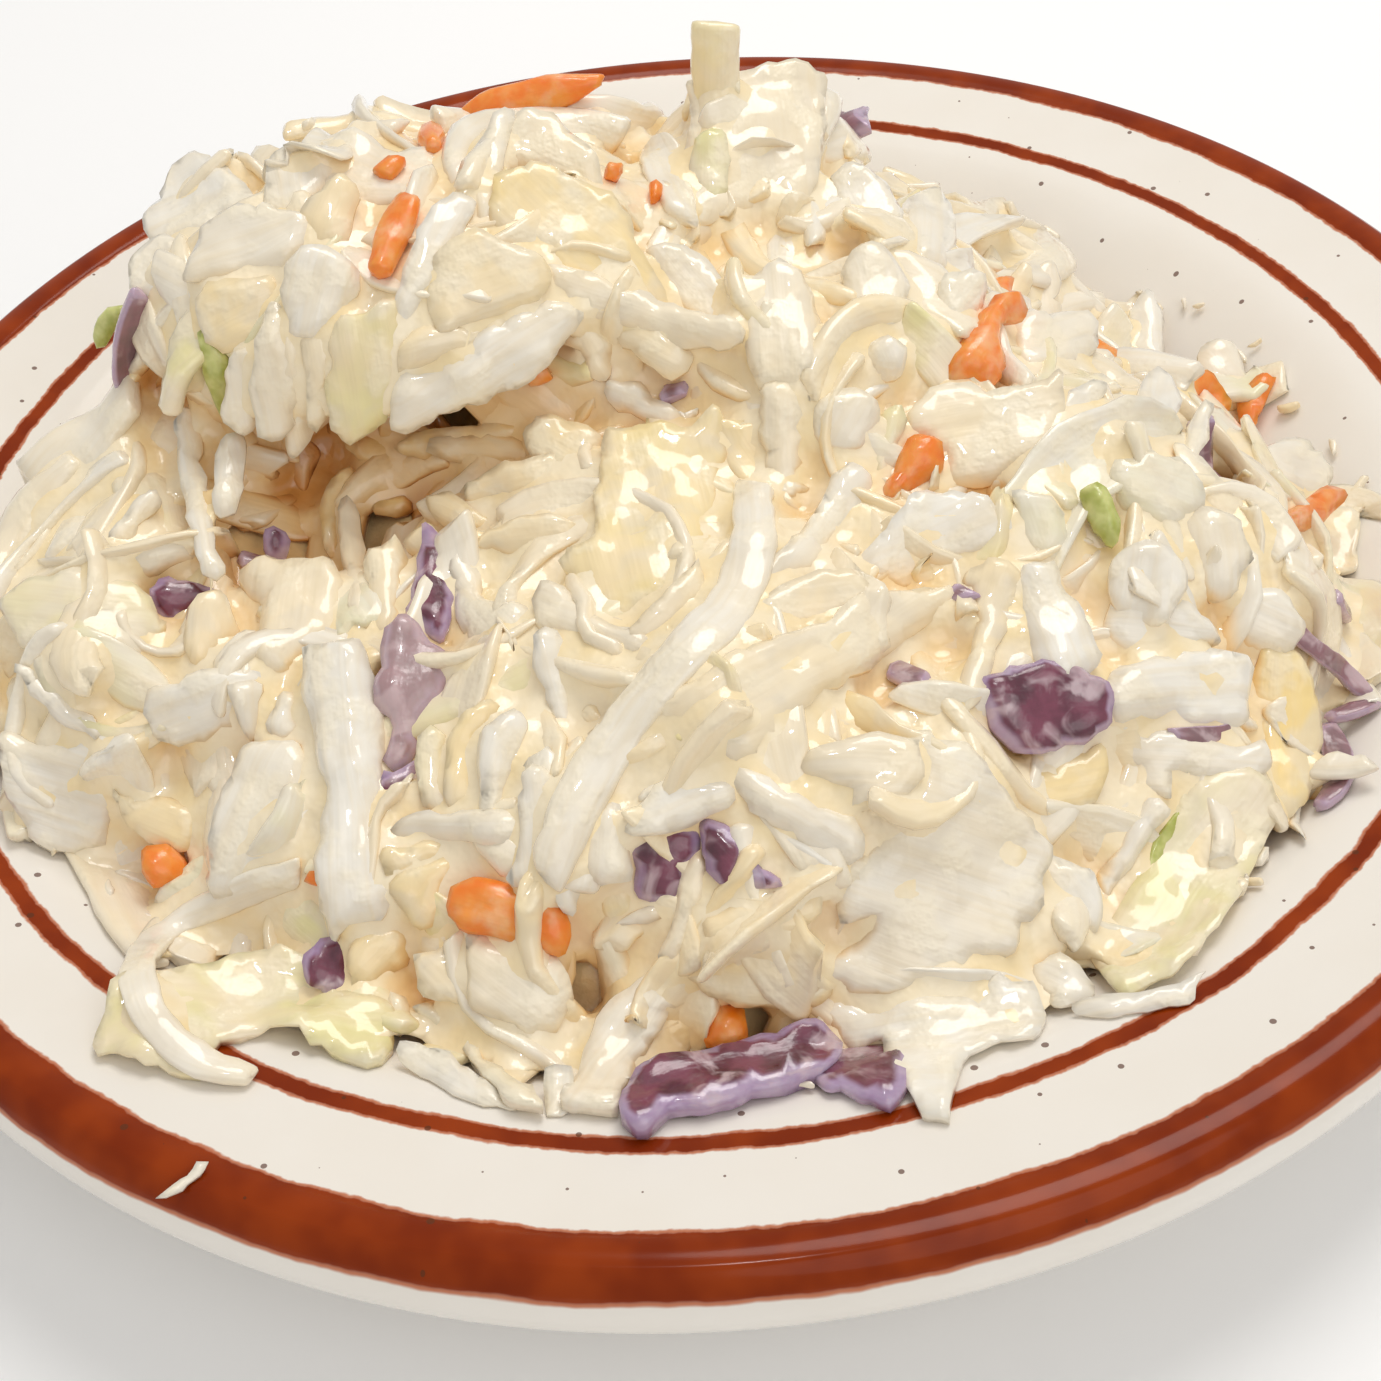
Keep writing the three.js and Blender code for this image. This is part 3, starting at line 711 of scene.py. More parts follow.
def spots(rng, count, share_seen):
    """Points spread over the heap: from all round, and a share of them where the camera sees it."""
    seen = int(count * share_seen)
    turns = rng.uniform(0, 2 * math.pi, count - seen)
    rises = rng.uniform(0.02, 1, count - seen) ** 1.3
    flat = np.sqrt(1 - rises**2)
    ways = np.stack([np.cos(turns) * flat, np.sin(turns) * flat, rises], -1)
    found = struck(HEAP_MIDDLE + ways * SEARCH_RADIUS, -ways)
    if seen:
        pixels = rng.uniform((0, 60), (PHOTO_PIXELS, 1120), (seen, 2))
        found = np.concatenate([found, seen_at(pixels, 0.0)])
    return found[heap_distance(found) < 1.0]


def lowest(rng, count, share_seen, spacing, ceiling, clear_of=None):
    """Of many spots, the ones where the pile is lowest, kept apart, and none above the ceiling."""
    pool = spots(rng, 7 * count, share_seen)
    if clear_of is not None:
        pool = pool[away(pool, clear_of) > spacing]
    if share_seen == 0:
        pool = pool[(outward(pool) * unit(CAMERA_AT - pool)).sum(-1) < 0.2]
    heights = pile.height(pool, outward(pool)) + rng.uniform(0, 1.0, len(pool))
    chosen = []
    for i in np.argsort(heights):
        if heights[i] > ceiling or len(chosen) == count:
            break
        if all(np.linalg.norm(pool[i] - pool[j]) > spacing for j in chosen):
            chosen.append(i)
    return pool[chosen]


# The way that scattered pieces tend to point, how far they may leave the heap, and how far they keep from
# the traced ones.
DOWNHILL = np.array([0.0, -0.7, -1.0])
STRAY = 3.0
KEPT_CLEAR = 2.2
# The gap under the scoop, by pixels in it, which no scattered piece crosses unless its hollow is 0.
HOLLOW_PIXELS = [
    (250, 470), (300, 480), (350, 490), (400, 490), (450, 480), (510, 450), (270, 540), (240, 500),
]
HOLLOW_REACH = 5.0
hollow = seen_at(HOLLOW_PIXELS, 0.0, plain_bed)


def scatter(skin, rng, count, sizes, ceiling, share_seen=0.5, spacing=5.0, clear_of=None):
    """A batch of pieces in the lowest places of the pile."""
    pile.refresh()
    middles = lowest(rng, count, share_seen, spacing, ceiling, clear_of)
    number = len(middles)
    if not number:
        return
    headings = unit(rng.normal(size=(number, 3)) + sizes.get("drape", 1.0) * DOWNHILL)
    lengths = rng.uniform(*sizes["length"], number)
    bends = rng.uniform(-1, 1, number) * sizes.get("bend", 0.12)
    routes = walked(middles, headings, lengths, bends, 8)
    for route in routes:
        route = route[heap_distance(route) < STRAY]
        if len(route) < 5:
            continue
        if away(route, hollow).min() < sizes.get("hollow", HOLLOW_REACH):
            continue
        if clear_of is not None and away(route, clear_of).min() < KEPT_CLEAR:
            continue
        look = {
            "width": rng.uniform(*sizes["width"]),
            "thickness": rng.uniform(*sizes["thickness"]),
            "seed": int(rng.integers(1, SEED_END)),
            "tilt": rng.normal() * sizes.get("tilt", 0.5),
            "twist": rng.normal() * sizes.get("twist", 0.5),
            "cup": rng.normal() * sizes.get("cup", 0.6),
            "lean": rng.normal() * sizes.get("lean", 1.0),
            "wedge": rng.uniform(-0.4, 0.4),
            "pointed": tuple(rng.choice([0.05, 0.2, 0.45, 0.7], 4, p=[0.4, 0.25, 0.2, 0.15])),
            "ragged": rng.uniform(0.06, 0.18),
            "wave": rng.uniform(0.0, 0.3),
            "sway": rng.uniform(0.1, 0.6),
            "sway_roll": rng.uniform(0.1, 0.4),
            "wavelength": rng.uniform(7, 14),
            "curl": tuple(np.abs(rng.normal(size=2)) * sizes.get("curl", 0.5)),
            "tint": rng.uniform(0, 1) * (1 - 0.6 * min(1, abs(route[2, 0]) / 45)),
            "green": max(0.0, rng.uniform(-3, 1)) * sizes.get("green", 0.6),
        }
        look.update(sizes.get("look", {}))
        place(skin, route, look, rng, ceiling + HEADROOM, sizes.get("spacing", 1.5))


def place(skin, route, look, rng, cap, spacing):
    """A strip laid on the pile along a bed route."""
    normals = smoothed(outward(route), 2)
    centres, turned = laid(route, unit(normals), look, cap, rng)
    centres, turned, places, length = resampled(centres, turned, spacing)
    ribbon(skin, centres, turned, places, length, look, rng)


CRUMB_RADII = (35, 76)


def strew(skin, rng, count):
    """Crumbs on the glaze round the heap's foot."""
    radii = np.linspace(*CRUMB_RADII, 160)
    for _ in range(count):
        turn = rng.uniform(0, 2 * math.pi)
        heights = np.interp(radii, GLAZE[:, 0], GLAZE[:, 1])
        line = np.stack([radii * math.cos(turn), radii * math.sin(turn), heights], -1)
        clear = heap_distance(line) > rng.uniform(0.5, 2.2) ** 2
        if not clear.any():
            continue
        heading = rng.uniform(0, 2 * math.pi)
        length, thickness = rng.uniform(1.2, 3.0), rng.uniform(0.5, 0.9)
        t = np.linspace(-0.5, 0.5, 5)[:, None] * length
        route = line[clear.argmax()] + t * np.array([math.cos(heading), math.sin(heading), 0])
        route = settled(route, PLATE_GAP + thickness / 2 - 0.2, 3, over_glaze)
        look = {
            "width": rng.uniform(0.9, 1.6), "thickness": thickness, "seed": int(rng.integers(1, SEED_END)),
            "ragged": 0.3, "pointed": (0.6, 0.6, 0.6, 0.6), "tint": rng.uniform(0, 0.8), "lump": 0.1,
        }
        centres, normals, places, length = resampled(route, outward(route, bed=over_glaze), 0.5)
        ribbon(skin, centres, normals, places, length, look, rng)


def splined(knots):
    """A smooth open line through the knots, in steps of about a millimetre."""
    padded = np.concatenate([2 * knots[:1] - knots[1:2], knots, 2 * knots[-1:] - knots[-2:-1]])
    route = []
    for a, b, c, d in zip(padded, padded[1:], padded[2:], padded[3:]):
        route.append(spline(a, b, c, d, max(2, int(np.linalg.norm(c - b) / 1.2))))
    route.append(knots[-1:])
    return np.concatenate(route)


def photo_route(pixels, lift):
    """A bed route through what the camera sees at these pixels."""
    return settled(splined(seen_at(pixels, lift)))


def loose(skin, knots, look, rng):
    """A strip through free points, its face to the camera but for its tilt."""
    route = splined(knots)
    normals = unit(CAMERA_AT - route)
    side = unit(np.cross(unit(np.gradient(route, axis=0)), normals))
    roll = look.get("tilt", 0.0) + look.get("twist", 0.0) * np.linspace(-1, 1, len(route))
    normals = normals * np.cos(roll)[:, None] - side * np.sin(roll)[:, None]
    centres, normals, places, length = resampled(route, unit(normals), 1.0)
    ribbon(skin, centres, normals, places, length, look, rng)


# ---- The pieces that the photograph shows, each traced by pixels in a frame of PHOTO_PIXELS ----------


def traced(thickness, pixels, kind="slice", **look):
    """A traced piece: its kind, the pixels, and its own sizes and finish in millimetres."""
    return kind, pixels, {"thickness": thickness, **look}


# Strips, by pixels along each, from the bottom of the heap to its top. Late ones lie over the flakes.
STRIPS = {
    "curl": traced(1.4, [(290, 870), (215, 905), (165, 935), (137, 975), (145, 1015), (185, 1045),
        (255, 1062)], width=2.6, tint=0.1, lift=0.6, late=True),
    "red loop a": traced(1.4, [(1284, 600), (1296, 632), (1318, 650), (1350, 670), (1379, 692)], "red",
        width=1.6),
    "red loop b": traced(1.4, [(1381, 690), (1362, 706), (1328, 712)], "red", width=1.6),
    "red loop c": traced(1.4, [(1330, 712), (1340, 750), (1332, 785), (1308, 800)], "red", width=2.6),
    "red line": traced(1.2, [(1165, 732), (1210, 735), (1245, 720)], "red", width=1.4),
    "far red": traced(1.4, [(1335, 595), (1365, 612)], "red", width=2.6),
    "red tip d": traced(1.2, [(240, 548), (285, 552)], "red", width=2.6),
    "red tip e": traced(1.4, [(890, 660), (935, 690)], "red", width=3.6),
    "red tip f": traced(1.4, [(655, 400), (690, 385)], "red", width=3.0),
    "red tip g": traced(1.4, [(940, 600), (975, 610)], "red", width=3.0),
    "far right shred": traced(1.4, [(1310, 770), (1381, 765)], width=2.4, tint=0.1),
    "tuft left shred": traced(1.8, [(655, 120), (680, 225)], width=4.0, tint=0.1),
    "long shred": traced(2.0, [(756, 480), (750, 560), (715, 620), (670, 670), (620, 720), (585, 770),
        (560, 830), (545, 890)], width=3.9, tint=0.1, lift=0.8, late=True),
    "scoop carrot": traced(2.0, [(412, 195), (375, 280)], "carrot", width=3.4),
    "carrot bit a": traced(1.8, [(430, 115), (430, 145)], "carrot", width=2.4),
    "carrot bit b": traced(1.8, [(375, 175), (405, 155)], "carrot", width=2.6),
    "carrot bit c": traced(1.8, [(600, 170), (625, 175)], "carrot", width=3.0),
    "carrot bit d": traced(1.4, [(655, 180), (655, 205)], "carrot", width=1.6),
    "scoop low carrot": traced(1.6, [(520, 385), (560, 375)], "carrot", width=2.6),
    "left low carrot": traced(1.6, [(295, 870), (330, 885)], "carrot", width=2.0),
    "green strip": traced(1.2, [(195, 325), (212, 370), (235, 430)], "green", width=2.6),
    "olive stripe": traced(1.0, [(1190, 800), (1150, 890)], "green", width=2.2),
}
KIND_LOOKS = {
    "slice": {"ragged": 0.14, "lump": 0.13, "stiff": 12, "cup": 0.2, "pointed": (0.1, 0.5, 0.1, 0.2)},
    "red": {"ragged": 0.1, "lump": 0.08, "cup": 0.4, "pointed": (0.4, 0.6, 0.3, 0.4)},
    "carrot": {"ragged": 0.1, "lump": 0.08, "pointed": (0.2, 0.6, 0.1, 0.3)},
    "green": {"ragged": 0.12, "lump": 0.06, "pointed": (0.7, 0.7, 0.6, 0.6)},
}

# Pieces on the scoop, by outline. They hang over the gap under it, each as far out as its lift.
SCOOP = {
    "left ruffle": traced(1.0, [(126, 268), (140, 245), (160, 232), (182, 240), (188, 262), (172, 290),
        (150, 300), (132, 292)], lift=0.2, tint=0.0, wave=0.5),
    "left rise": traced(1.2, [(150, 235), (158, 200), (172, 168), (198, 156), (228, 172), (250, 190),
        (262, 215), (225, 230), (190, 246), (170, 262)], lift=0.0, tint=0.0, wave=0.5),
    "column": traced(1.6, [(264, 218), (268, 170), (282, 152), (322, 150), (345, 165), (330, 190),
        (312, 214), (290, 228)], lift=0.2, tint=0.1, grain=80),
    "big petal": traced(1.2, [(188, 262), (200, 225), (226, 204), (262, 203), (300, 212), (312, 236),
        (290, 262), (250, 276), (212, 282), (186, 284)], lift=0.9, tint=0.15, wave=0.4),
    "inner flap": traced(1.2, [(300, 215), (322, 190), (345, 178), (360, 195), (352, 225), (340, 250),
        (312, 246)], lift=0.4, tint=0.7),
    "side petal": traced(1.2, [(196, 296), (230, 280), (272, 280), (280, 310), (262, 340), (232, 352),
        (206, 340)], lift=0.0, tint=0.8),
    "round flap": traced(1.4, [(282, 300), (290, 262), (312, 248), (338, 252), (356, 272), (352, 304),
        (330, 330), (296, 336)], lift=1.0, tint=0.05),
    "hanging a": traced(1.3, [(232, 356), (262, 342), (270, 372), (262, 412), (246, 436), (228, 420),
        (224, 385)], lift=0.2, tint=0.2, grain=80),
    "hanging b": traced(1.4, [(270, 300), (284, 312), (297, 352), (298, 400), (290, 432), (272, 443),
        (254, 425), (250, 382), (258, 340)], lift=0.8, tint=0.2, grain=80),
    "hanging c": traced(1.3, [(282, 336), (300, 334), (306, 376), (313, 424), (304, 448), (293, 456),
        (284, 436), (288, 392)], lift=0.3, tint=0.3, grain=80),
    "hanging d": traced(1.2, [(306, 340), (330, 330), (332, 372), (328, 410), (318, 432), (310, 424),
        (308, 380)], lift=0.4, tint=0.4, grain=80),
    "hanging e": traced(1.6, [(336, 326), (372, 306), (398, 304), (402, 340), (396, 380), (384, 416),
        (362, 440), (342, 440), (328, 410), (328, 366)], lift=1.0, tint=0.6, green=0.45, grain=80),
    "hanging f": traced(1.0, [(222, 440), (246, 436), (242, 480), (233, 510), (222, 522), (214, 505),
        (216, 470)], lift=0.3, tint=0.0, grain=80),
    "hanging g": traced(1.2, [(176, 410), (198, 420), (205, 480), (215, 540), (226, 576), (207, 578),
        (192, 530), (180, 480)], lift=-0.4, tint=0.0, grain=80),
    "upright shred": traced(1.6, [(478, 240), (468, 190), (472, 150), (494, 118), (512, 112), (508, 145),
        (500, 180), (496, 230)], lift=0.9, tint=0.2, grain=80),
    "arched leaf": traced(1.1, [(500, 165), (508, 125), (540, 112), (570, 135), (596, 165), (602, 192),
        (580, 190), (540, 170)], lift=0.5, tint=0.3),
    "wet petal": traced(1.1, [(412, 250), (428, 215), (452, 190), (472, 196), (470, 225), (452, 250),
        (440, 280), (424, 300), (404, 332), (394, 320), (402, 280)], lift=1.0, tint=0.0, wave=0.5),
    "yellow leaf top": traced(1.4, [(496, 180), (540, 162), (580, 180), (612, 196), (630, 215), (634, 240),
        (648, 262), (662, 285), (670, 312), (640, 314), (600, 298), (560, 282), (542, 258), (516, 240),
        (494, 232)], lift=1.1, tint=0.95, wave=0.3),
    "cream leaf": traced(1.4, [(440, 252), (475, 228), (500, 240), (535, 250), (552, 275), (534, 300),
        (500, 312), (470, 325), (440, 330), (428, 300)], lift=1.5, tint=0.8),
    "white flap": traced(1.5, [(548, 268), (592, 275), (640, 295), (690, 310), (738, 322), (740, 340),
        (700, 346), (660, 340), (620, 327), (580, 312), (556, 295)], lift=1.4, tint=0.3),
    "lower flap a": traced(1.3, [(566, 316), (590, 312), (606, 330), (613, 360), (606, 382), (592, 376),
        (580, 352), (564, 342)], lift=0.3, tint=0.4),
    "lower flap b": traced(1.3, [(612, 332), (650, 328), (685, 338), (694, 362), (680, 378), (655, 372),
        (630, 352)], lift=0.2, tint=0.5),
    "ledge": traced(1.4, [(402, 340), (430, 324), (470, 328), (508, 312), (504, 332), (470, 352),
        (430, 364), (398, 374)], lift=0.8, tint=0.6),
    "front slice": traced(1.8, [(389, 428), (391, 396), (398, 376), (425, 364), (460, 352), (500, 322),
        (545, 302), (575, 307), (584, 318), (560, 350), (535, 378), (500, 395), (450, 412), (415, 432),
        (398, 436)], lift=1.6, tint=0.1, grain=-30),
}
# Strips at the heap's outline, by pixels along each, and how far back each stands.
UPRIGHT = {
    "left red slice": traced(1.5, [(140, 292), (128, 340), (132, 400), (150, 455), (176, 505), (204, 552)],
        "red", back=4.0, width=3.6, tilt=0.5, cup=0.5, pointed=(0.6, 0.8, 0.5, 0.8), lump=0.06),
    "back carrot": traced(1.8, [(440, 142), (480, 116), (520, 102), (598, 86)], "carrot", back=24.0,
        width=3.4, pointed=(0.3, 0.7, 0.2, 0.5), lump=0.08),
    "left green bit": traced(1.2, [(98, 345), (108, 322), (124, 312)], "green", back=8.0, width=3.0,
        pointed=(0.6, 0.7, 0.6, 0.7), lump=0.06),
}
# The strand that stands up at the back.
STRAND = [(5.6, 19.5, 40), (6.2, 21.2, 47), (6.8, 22.5, 53.6)]
STRAND_LOOK = {"width": 4.4, "thickness": 1.4, "seed": 77, "tint": 0.6, "green": 0.3, "ragged": 0.08,
               "pointed": (0.0, 0.0, 0.0, 0.0), "cup": -0.4, "lump": 0.08, "slant": 0.15, "torn": 0.06}

# How far over the bed the camera is taken to see a traced piece, and how far over it the piece may rise.
PHOTO_LIFT = 1.3
PHOTO_CAP = 1.2

# Broad pieces that show whole, by outline. Each lies over the ones before it, and its over lifts it more.
FLAKES = {
    "back chunk a": traced(1.8, [(830, 180), (860, 170), (890, 190), (900, 230), (870, 250), (840, 225)],
        tint=0.1),
    "back chunk b": traced(1.8, [(845, 260), (880, 250), (905, 280), (900, 320), (865, 330), (845, 300)],
        tint=0.2),
    "back chunk c": traced(1.6, [(940, 280), (975, 275), (985, 300), (960, 330), (935, 320)], tint=0.1),
    "back chunk d": traced(1.6, [(820, 400), (860, 390), (880, 410), (865, 450), (830, 455), (815, 430)],
        tint=0.2),
    "right upright": traced(1.8, [(1130, 312), (1150, 295), (1166, 330), (1160, 370), (1140, 372)],
        tint=0.0),
    "right chunk a": traced(1.6, [(1140, 380), (1165, 372), (1182, 400), (1165, 430), (1140, 425)],
        tint=0.0),
    "right chunk b": traced(1.6, [(1200, 352), (1230, 345), (1250, 380), (1225, 395), (1200, 380)],
        tint=0.2),
    "right chunk c": traced(1.6, [(1110, 470), (1150, 455), (1190, 470), (1200, 505), (1160, 530),
        (1120, 510)], tint=0.1, green=0.2),
    "right chunk d": traced(1.6, [(1260, 450), (1300, 440), (1330, 470), (1320, 500), (1280, 500),
        (1255, 480)], tint=0.0),
    "right chunk e": traced(1.8, [(1225, 600), (1270, 590), (1300, 620), (1290, 650), (1250, 655),
        (1225, 635)], tint=0.1),
    "right chunk f": traced(1.8, [(1120, 590), (1180, 600), (1220, 640), (1180, 655), (1120, 660),
        (1105, 630)], tint=0.0),
    "white round": traced(2.0, [(905, 205), (925, 190), (945, 200), (955, 235), (945, 268), (915, 268),
        (902, 240)], tint=0.1),
    "white block": traced(2.0, [(872, 345), (890, 338), (905, 350), (903, 375), (885, 382), (870, 370)],
        tint=0.1),
    "white lump": traced(2.0, [(1008, 330), (1030, 315), (1060, 318), (1090, 322), (1095, 345), (1080, 365),
        (1050, 378), (1015, 368)], tint=0.1),
    "upper strip": traced(2.2, [(745, 290), (762, 270), (780, 262), (795, 270), (815, 290), (820, 330),
        (815, 370), (800, 392), (765, 392), (745, 350)], tint=0.3, over=0.8),
    "strip below": traced(1.8, [(762, 390), (800, 388), (808, 430), (800, 480), (806, 500), (780, 508),
        (775, 540), (770, 500), (764, 450)], tint=0.3),
    "grey leaf": traced(1.0, [(648, 252), (684, 246), (712, 268), (734, 306), (722, 330), (690, 320),
        (664, 290)], tint=0.1),
    "tuft leaf": traced(1.2, [(688, 82), (722, 78), (760, 66), (800, 62), (822, 76), (828, 105), (822, 150),
        (808, 215), (795, 234), (762, 214), (726, 222), (690, 230), (684, 170), (692, 120)], tint=0.3,
        grain=80),
    "tuft green": traced(1.0, [(694, 140), (712, 132), (728, 140), (732, 172), (722, 198), (702, 204),
        (692, 180)], tint=0.3, green=0.9, over=0.5),
    "right carrot": traced(2.6, [(1000, 297), (1023, 300), (1024, 318), (1002, 322), (1000, 350),
        (1008, 368), (985, 392), (972, 380), (945, 382), (955, 350), (975, 325), (985, 305)], "carrot",
        over=0.6),
    "green grey bit": traced(1.2, [(886, 410), (900, 404), (904, 420), (900, 450), (890, 470), (880, 490),
        (870, 460), (875, 440)], tint=0.4, green=0.6),
    "middle carrot": traced(2.6, [(905, 440), (920, 437), (940, 440), (942, 470), (925, 480), (905, 492),
        (886, 505), (884, 490), (895, 465)], "carrot", over=0.4),
    "grey bit": traced(1.2, [(1062, 400), (1085, 385), (1110, 382), (1095, 405), (1070, 430), (1060, 450)],
        tint=0.0),
    "wing leaf": traced(1.1, [(905, 412), (935, 385), (970, 380), (985, 392), (1010, 385), (1040, 388),
        (1058, 374), (1064, 390), (1062, 430), (1050, 455), (1010, 470), (975, 490), (945, 480), (945, 455),
        (920, 440), (905, 425)], tint=0.35, over=0.5),
    "pale green round": traced(1.6, [(1015, 495), (1050, 500), (1068, 520), (1066, 550), (1050, 568),
        (1030, 560), (1020, 535)], tint=0.1, green=0.3),
    "green oval": traced(1.8, [(1078, 488), (1098, 484), (1112, 500), (1120, 530), (1112, 550), (1100, 540),
        (1085, 515)], "green", over=0.6),
    "carrot strip over": traced(1.4, [(1195, 410), (1212, 405), (1208, 440), (1190, 470), (1180, 460)],
        tint=0.0, over=0.6),
    "curved carrot": traced(2.0, [(1163, 425), (1172, 400), (1186, 380), (1205, 372), (1224, 388),
        (1232, 408), (1222, 412), (1208, 396), (1194, 396), (1182, 412), (1174, 430)], "carrot", over=0.4),
    "far carrot": traced(2.2, [(1240, 425), (1240, 395), (1262, 378), (1274, 384), (1262, 410),
        (1254, 432)], "carrot"),
    "far right carrot": traced(2.4, [(1250, 528), (1290, 508), (1330, 490), (1342, 498), (1336, 514),
        (1296, 532), (1270, 542)], "carrot", over=0.4),
    "right under a": traced(1.8, [(1110, 560), (1150, 540), (1185, 560), (1180, 600), (1150, 625),
        (1115, 610)], tint=0.0),
    "right under b": traced(1.8, [(1185, 520), (1220, 505), (1245, 540), (1240, 590), (1205, 600),
        (1188, 560)], tint=0.2),
    # Tinted fully yellow: partly painted shade, for the ochre shade of the hollow where this leaf lies.
    "amber bowl": traced(1.2, [(1008, 762), (1040, 775), (1062, 760), (1100, 745), (1108, 770), (1095, 800),
        (1070, 818), (1040, 818), (1020, 800)], tint=1.0),
    "ruffled green leaf": traced(1.0, [(1168, 812), (1200, 776), (1250, 772), (1276, 800), (1262, 850),
        (1240, 900), (1210, 950), (1170, 980), (1120, 990), (1092, 960), (1110, 920), (1140, 870)],
        tint=0.4, green=0.7, wave=0.8),
    "amber leaf": traced(1.1, [(1250, 660), (1295, 650), (1312, 690), (1322, 730), (1318, 775), (1296, 812),
        (1262, 826), (1250, 790), (1258, 740)], tint=1.2),
    "right lobe": traced(1.3, [(1120, 730), (1160, 735), (1200, 735), (1240, 745), (1265, 740), (1270, 770),
        (1240, 790), (1200, 780), (1170, 775), (1172, 800), (1150, 795), (1130, 770), (1118, 750)],
        tint=0.1, over=0.3),
    "red right slice": traced(1.8, [(980, 690), (1010, 668), (1050, 662), (1100, 676), (1112, 712),
        (1090, 738), (1044, 752), (1000, 744)], "red", grain=-5, over=0.9),
    "hanging strip": traced(1.3, [(1145, 800), (1168, 808), (1150, 840), (1120, 880), (1105, 900),
        (1098, 880), (1120, 845)], tint=0.0, over=0.5),
    "right block": traced(2.4, [(1104, 680), (1120, 665), (1170, 655), (1200, 650), (1245, 660),
        (1248, 700), (1245, 722), (1200, 730), (1150, 722), (1115, 718), (1102, 700)], tint=-0.3, over=1.0),
    "curved flap": traced(1.6, [(1018, 575), (1036, 566), (1055, 562), (1068, 590), (1085, 620),
        (1100, 655), (1090, 675), (1060, 682), (1035, 660), (1022, 630)], tint=-0.2, over=1.0),
    "left red hole": traced(1.2, [(148, 590), (170, 578), (205, 580), (215, 600), (190, 618), (160, 618)],
        "red", over=-0.8),
    "left pale leaf": traced(1.3, [(5, 600), (30, 578), (80, 570), (130, 578), (150, 600), (165, 625),
        (150, 650), (120, 664), (70, 665), (30, 650), (8, 630)], tint=0.3, green=0.3),
    "narrow left strip": traced(1.4, [(16, 660), (40, 675), (70, 700), (105, 730), (100, 740), (70, 725),
        (40, 700), (18, 672)], tint=0.0),
    "far left flap": traced(1.3, [(5, 730), (40, 745), (100, 735), (125, 728), (125, 770), (118, 800),
        (105, 845), (75, 852), (40, 848), (20, 820), (4, 780)], tint=0.0, over=0.4),
    "left strand": traced(1.4, [(148, 488), (165, 500), (140, 525), (125, 548), (112, 545), (118, 525)],
        tint=0.1),
    "left lump": traced(2.0, [(130, 555), (150, 540), (185, 545), (195, 560), (170, 570), (150, 578),
        (128, 572)], tint=0.2),
    "pale lump": traced(2.2, [(190, 610), (210, 590), (230, 600), (235, 630), (215, 660), (195, 668),
        (182, 650)], tint=0.5),
    "white lump b": traced(2.2, [(240, 583), (250, 565), (275, 560), (300, 565), (330, 562), (345, 590),
        (340, 630), (320, 650), (300, 665), (275, 680), (255, 660), (262, 630), (258, 605)], tint=0.4),
    "yellow lump": traced(1.8, [(118, 790), (135, 800), (165, 798), (195, 808), (202, 830), (190, 850),
        (165, 850), (140, 835), (125, 815)], tint=0.8),
    "cross flap": traced(1.5, [(145, 715), (150, 690), (180, 680), (215, 668), (260, 672), (262, 700),
        (240, 715), (222, 728), (205, 740), (178, 746), (155, 735)], tint=0.0, over=0.8),
    "left carrot": traced(2.4, [(143, 860), (150, 848), (175, 850), (188, 868), (182, 880), (165, 890),
        (148, 882)], "carrot", over=0.3),
    "small flap a": traced(1.4, [(234, 688), (262, 684), (262, 720), (252, 740), (242, 722)], tint=0.1),
    "small flap b": traced(1.4, [(272, 705), (285, 690), (302, 700), (305, 735), (285, 742), (268, 730)],
        tint=0.1),
    "left flap": traced(1.4, [(247, 745), (262, 740), (300, 745), (312, 790), (318, 820), (300, 848),
        (290, 860), (262, 872), (245, 890), (215, 898), (210, 880), (213, 850), (218, 810), (230, 775)],
        tint=0.1, over=0.6),
    "verge leaf": traced(1.0, [(97, 1045), (108, 1010), (122, 990), (160, 972), (220, 962), (290, 948),
        (325, 972), (352, 995), (388, 1002), (392, 1050), (372, 1062), (320, 1050), (270, 1036),
        (240, 1035), (215, 1050), (200, 1072), (150, 1068), (110, 1056)], tint=0.5, green=0.6, wave=0.8),
    "front left shred": traced(1.8, [(412, 1005), (430, 1006), (455, 1030), (485, 1055), (522, 1085),
        (546, 1108), (540, 1116), (510, 1104), (478, 1070), (450, 1040), (425, 1020)], tint=0.2,
        green=0.15),
    "front lump a": traced(2.0, [(415, 955), (450, 948), (470, 960), (480, 990), (460, 1005), (440, 1000),
        (425, 985)], tint=0.4),
    "front lump b": traced(1.8, [(470, 932), (505, 940), (560, 960), (572, 1000), (560, 1030), (535, 1040),
        (505, 1020), (475, 1010), (468, 975)], tint=0.3),
    "front shred": traced(1.8, [(655, 975), (695, 990), (670, 1012), (655, 1042), (640, 1070), (624, 1088),
        (618, 1110), (564, 1108), (572, 1080), (586, 1040), (600, 1010), (625, 985)], tint=0.2),
    "low front leaf": traced(1.2, [(685, 960), (740, 950), (800, 955), (835, 985), (815, 1005), (770, 1012),
        (720, 1000), (695, 985)], tint=0.9),
    "front ruffled leaf": traced(1.1, [(815, 1000), (836, 990), (880, 1004), (902, 990), (950, 998),
        (1000, 974), (1032, 980), (1042, 1010), (1032, 1036), (1000, 1045), (958, 1064), (950, 1090),
        (946, 1112), (925, 1112), (905, 1095), (895, 1070), (884, 1040), (856, 1048), (838, 1030)],
        tint=0.0, wave=0.6, over=0.3),
    "front ruffle right": traced(1.1, [(1036, 972), (1062, 958), (1094, 984), (1090, 1004), (1060, 1010),
        (1042, 1006)], tint=0.1),
    "red front slice": traced(2.4, [(622, 1118), (626, 1085), (642, 1064), (680, 1055), (722, 1048),
        (756, 1042), (790, 1026), (812, 1020), (836, 1034), (842, 1060), (820, 1078), (790, 1086),
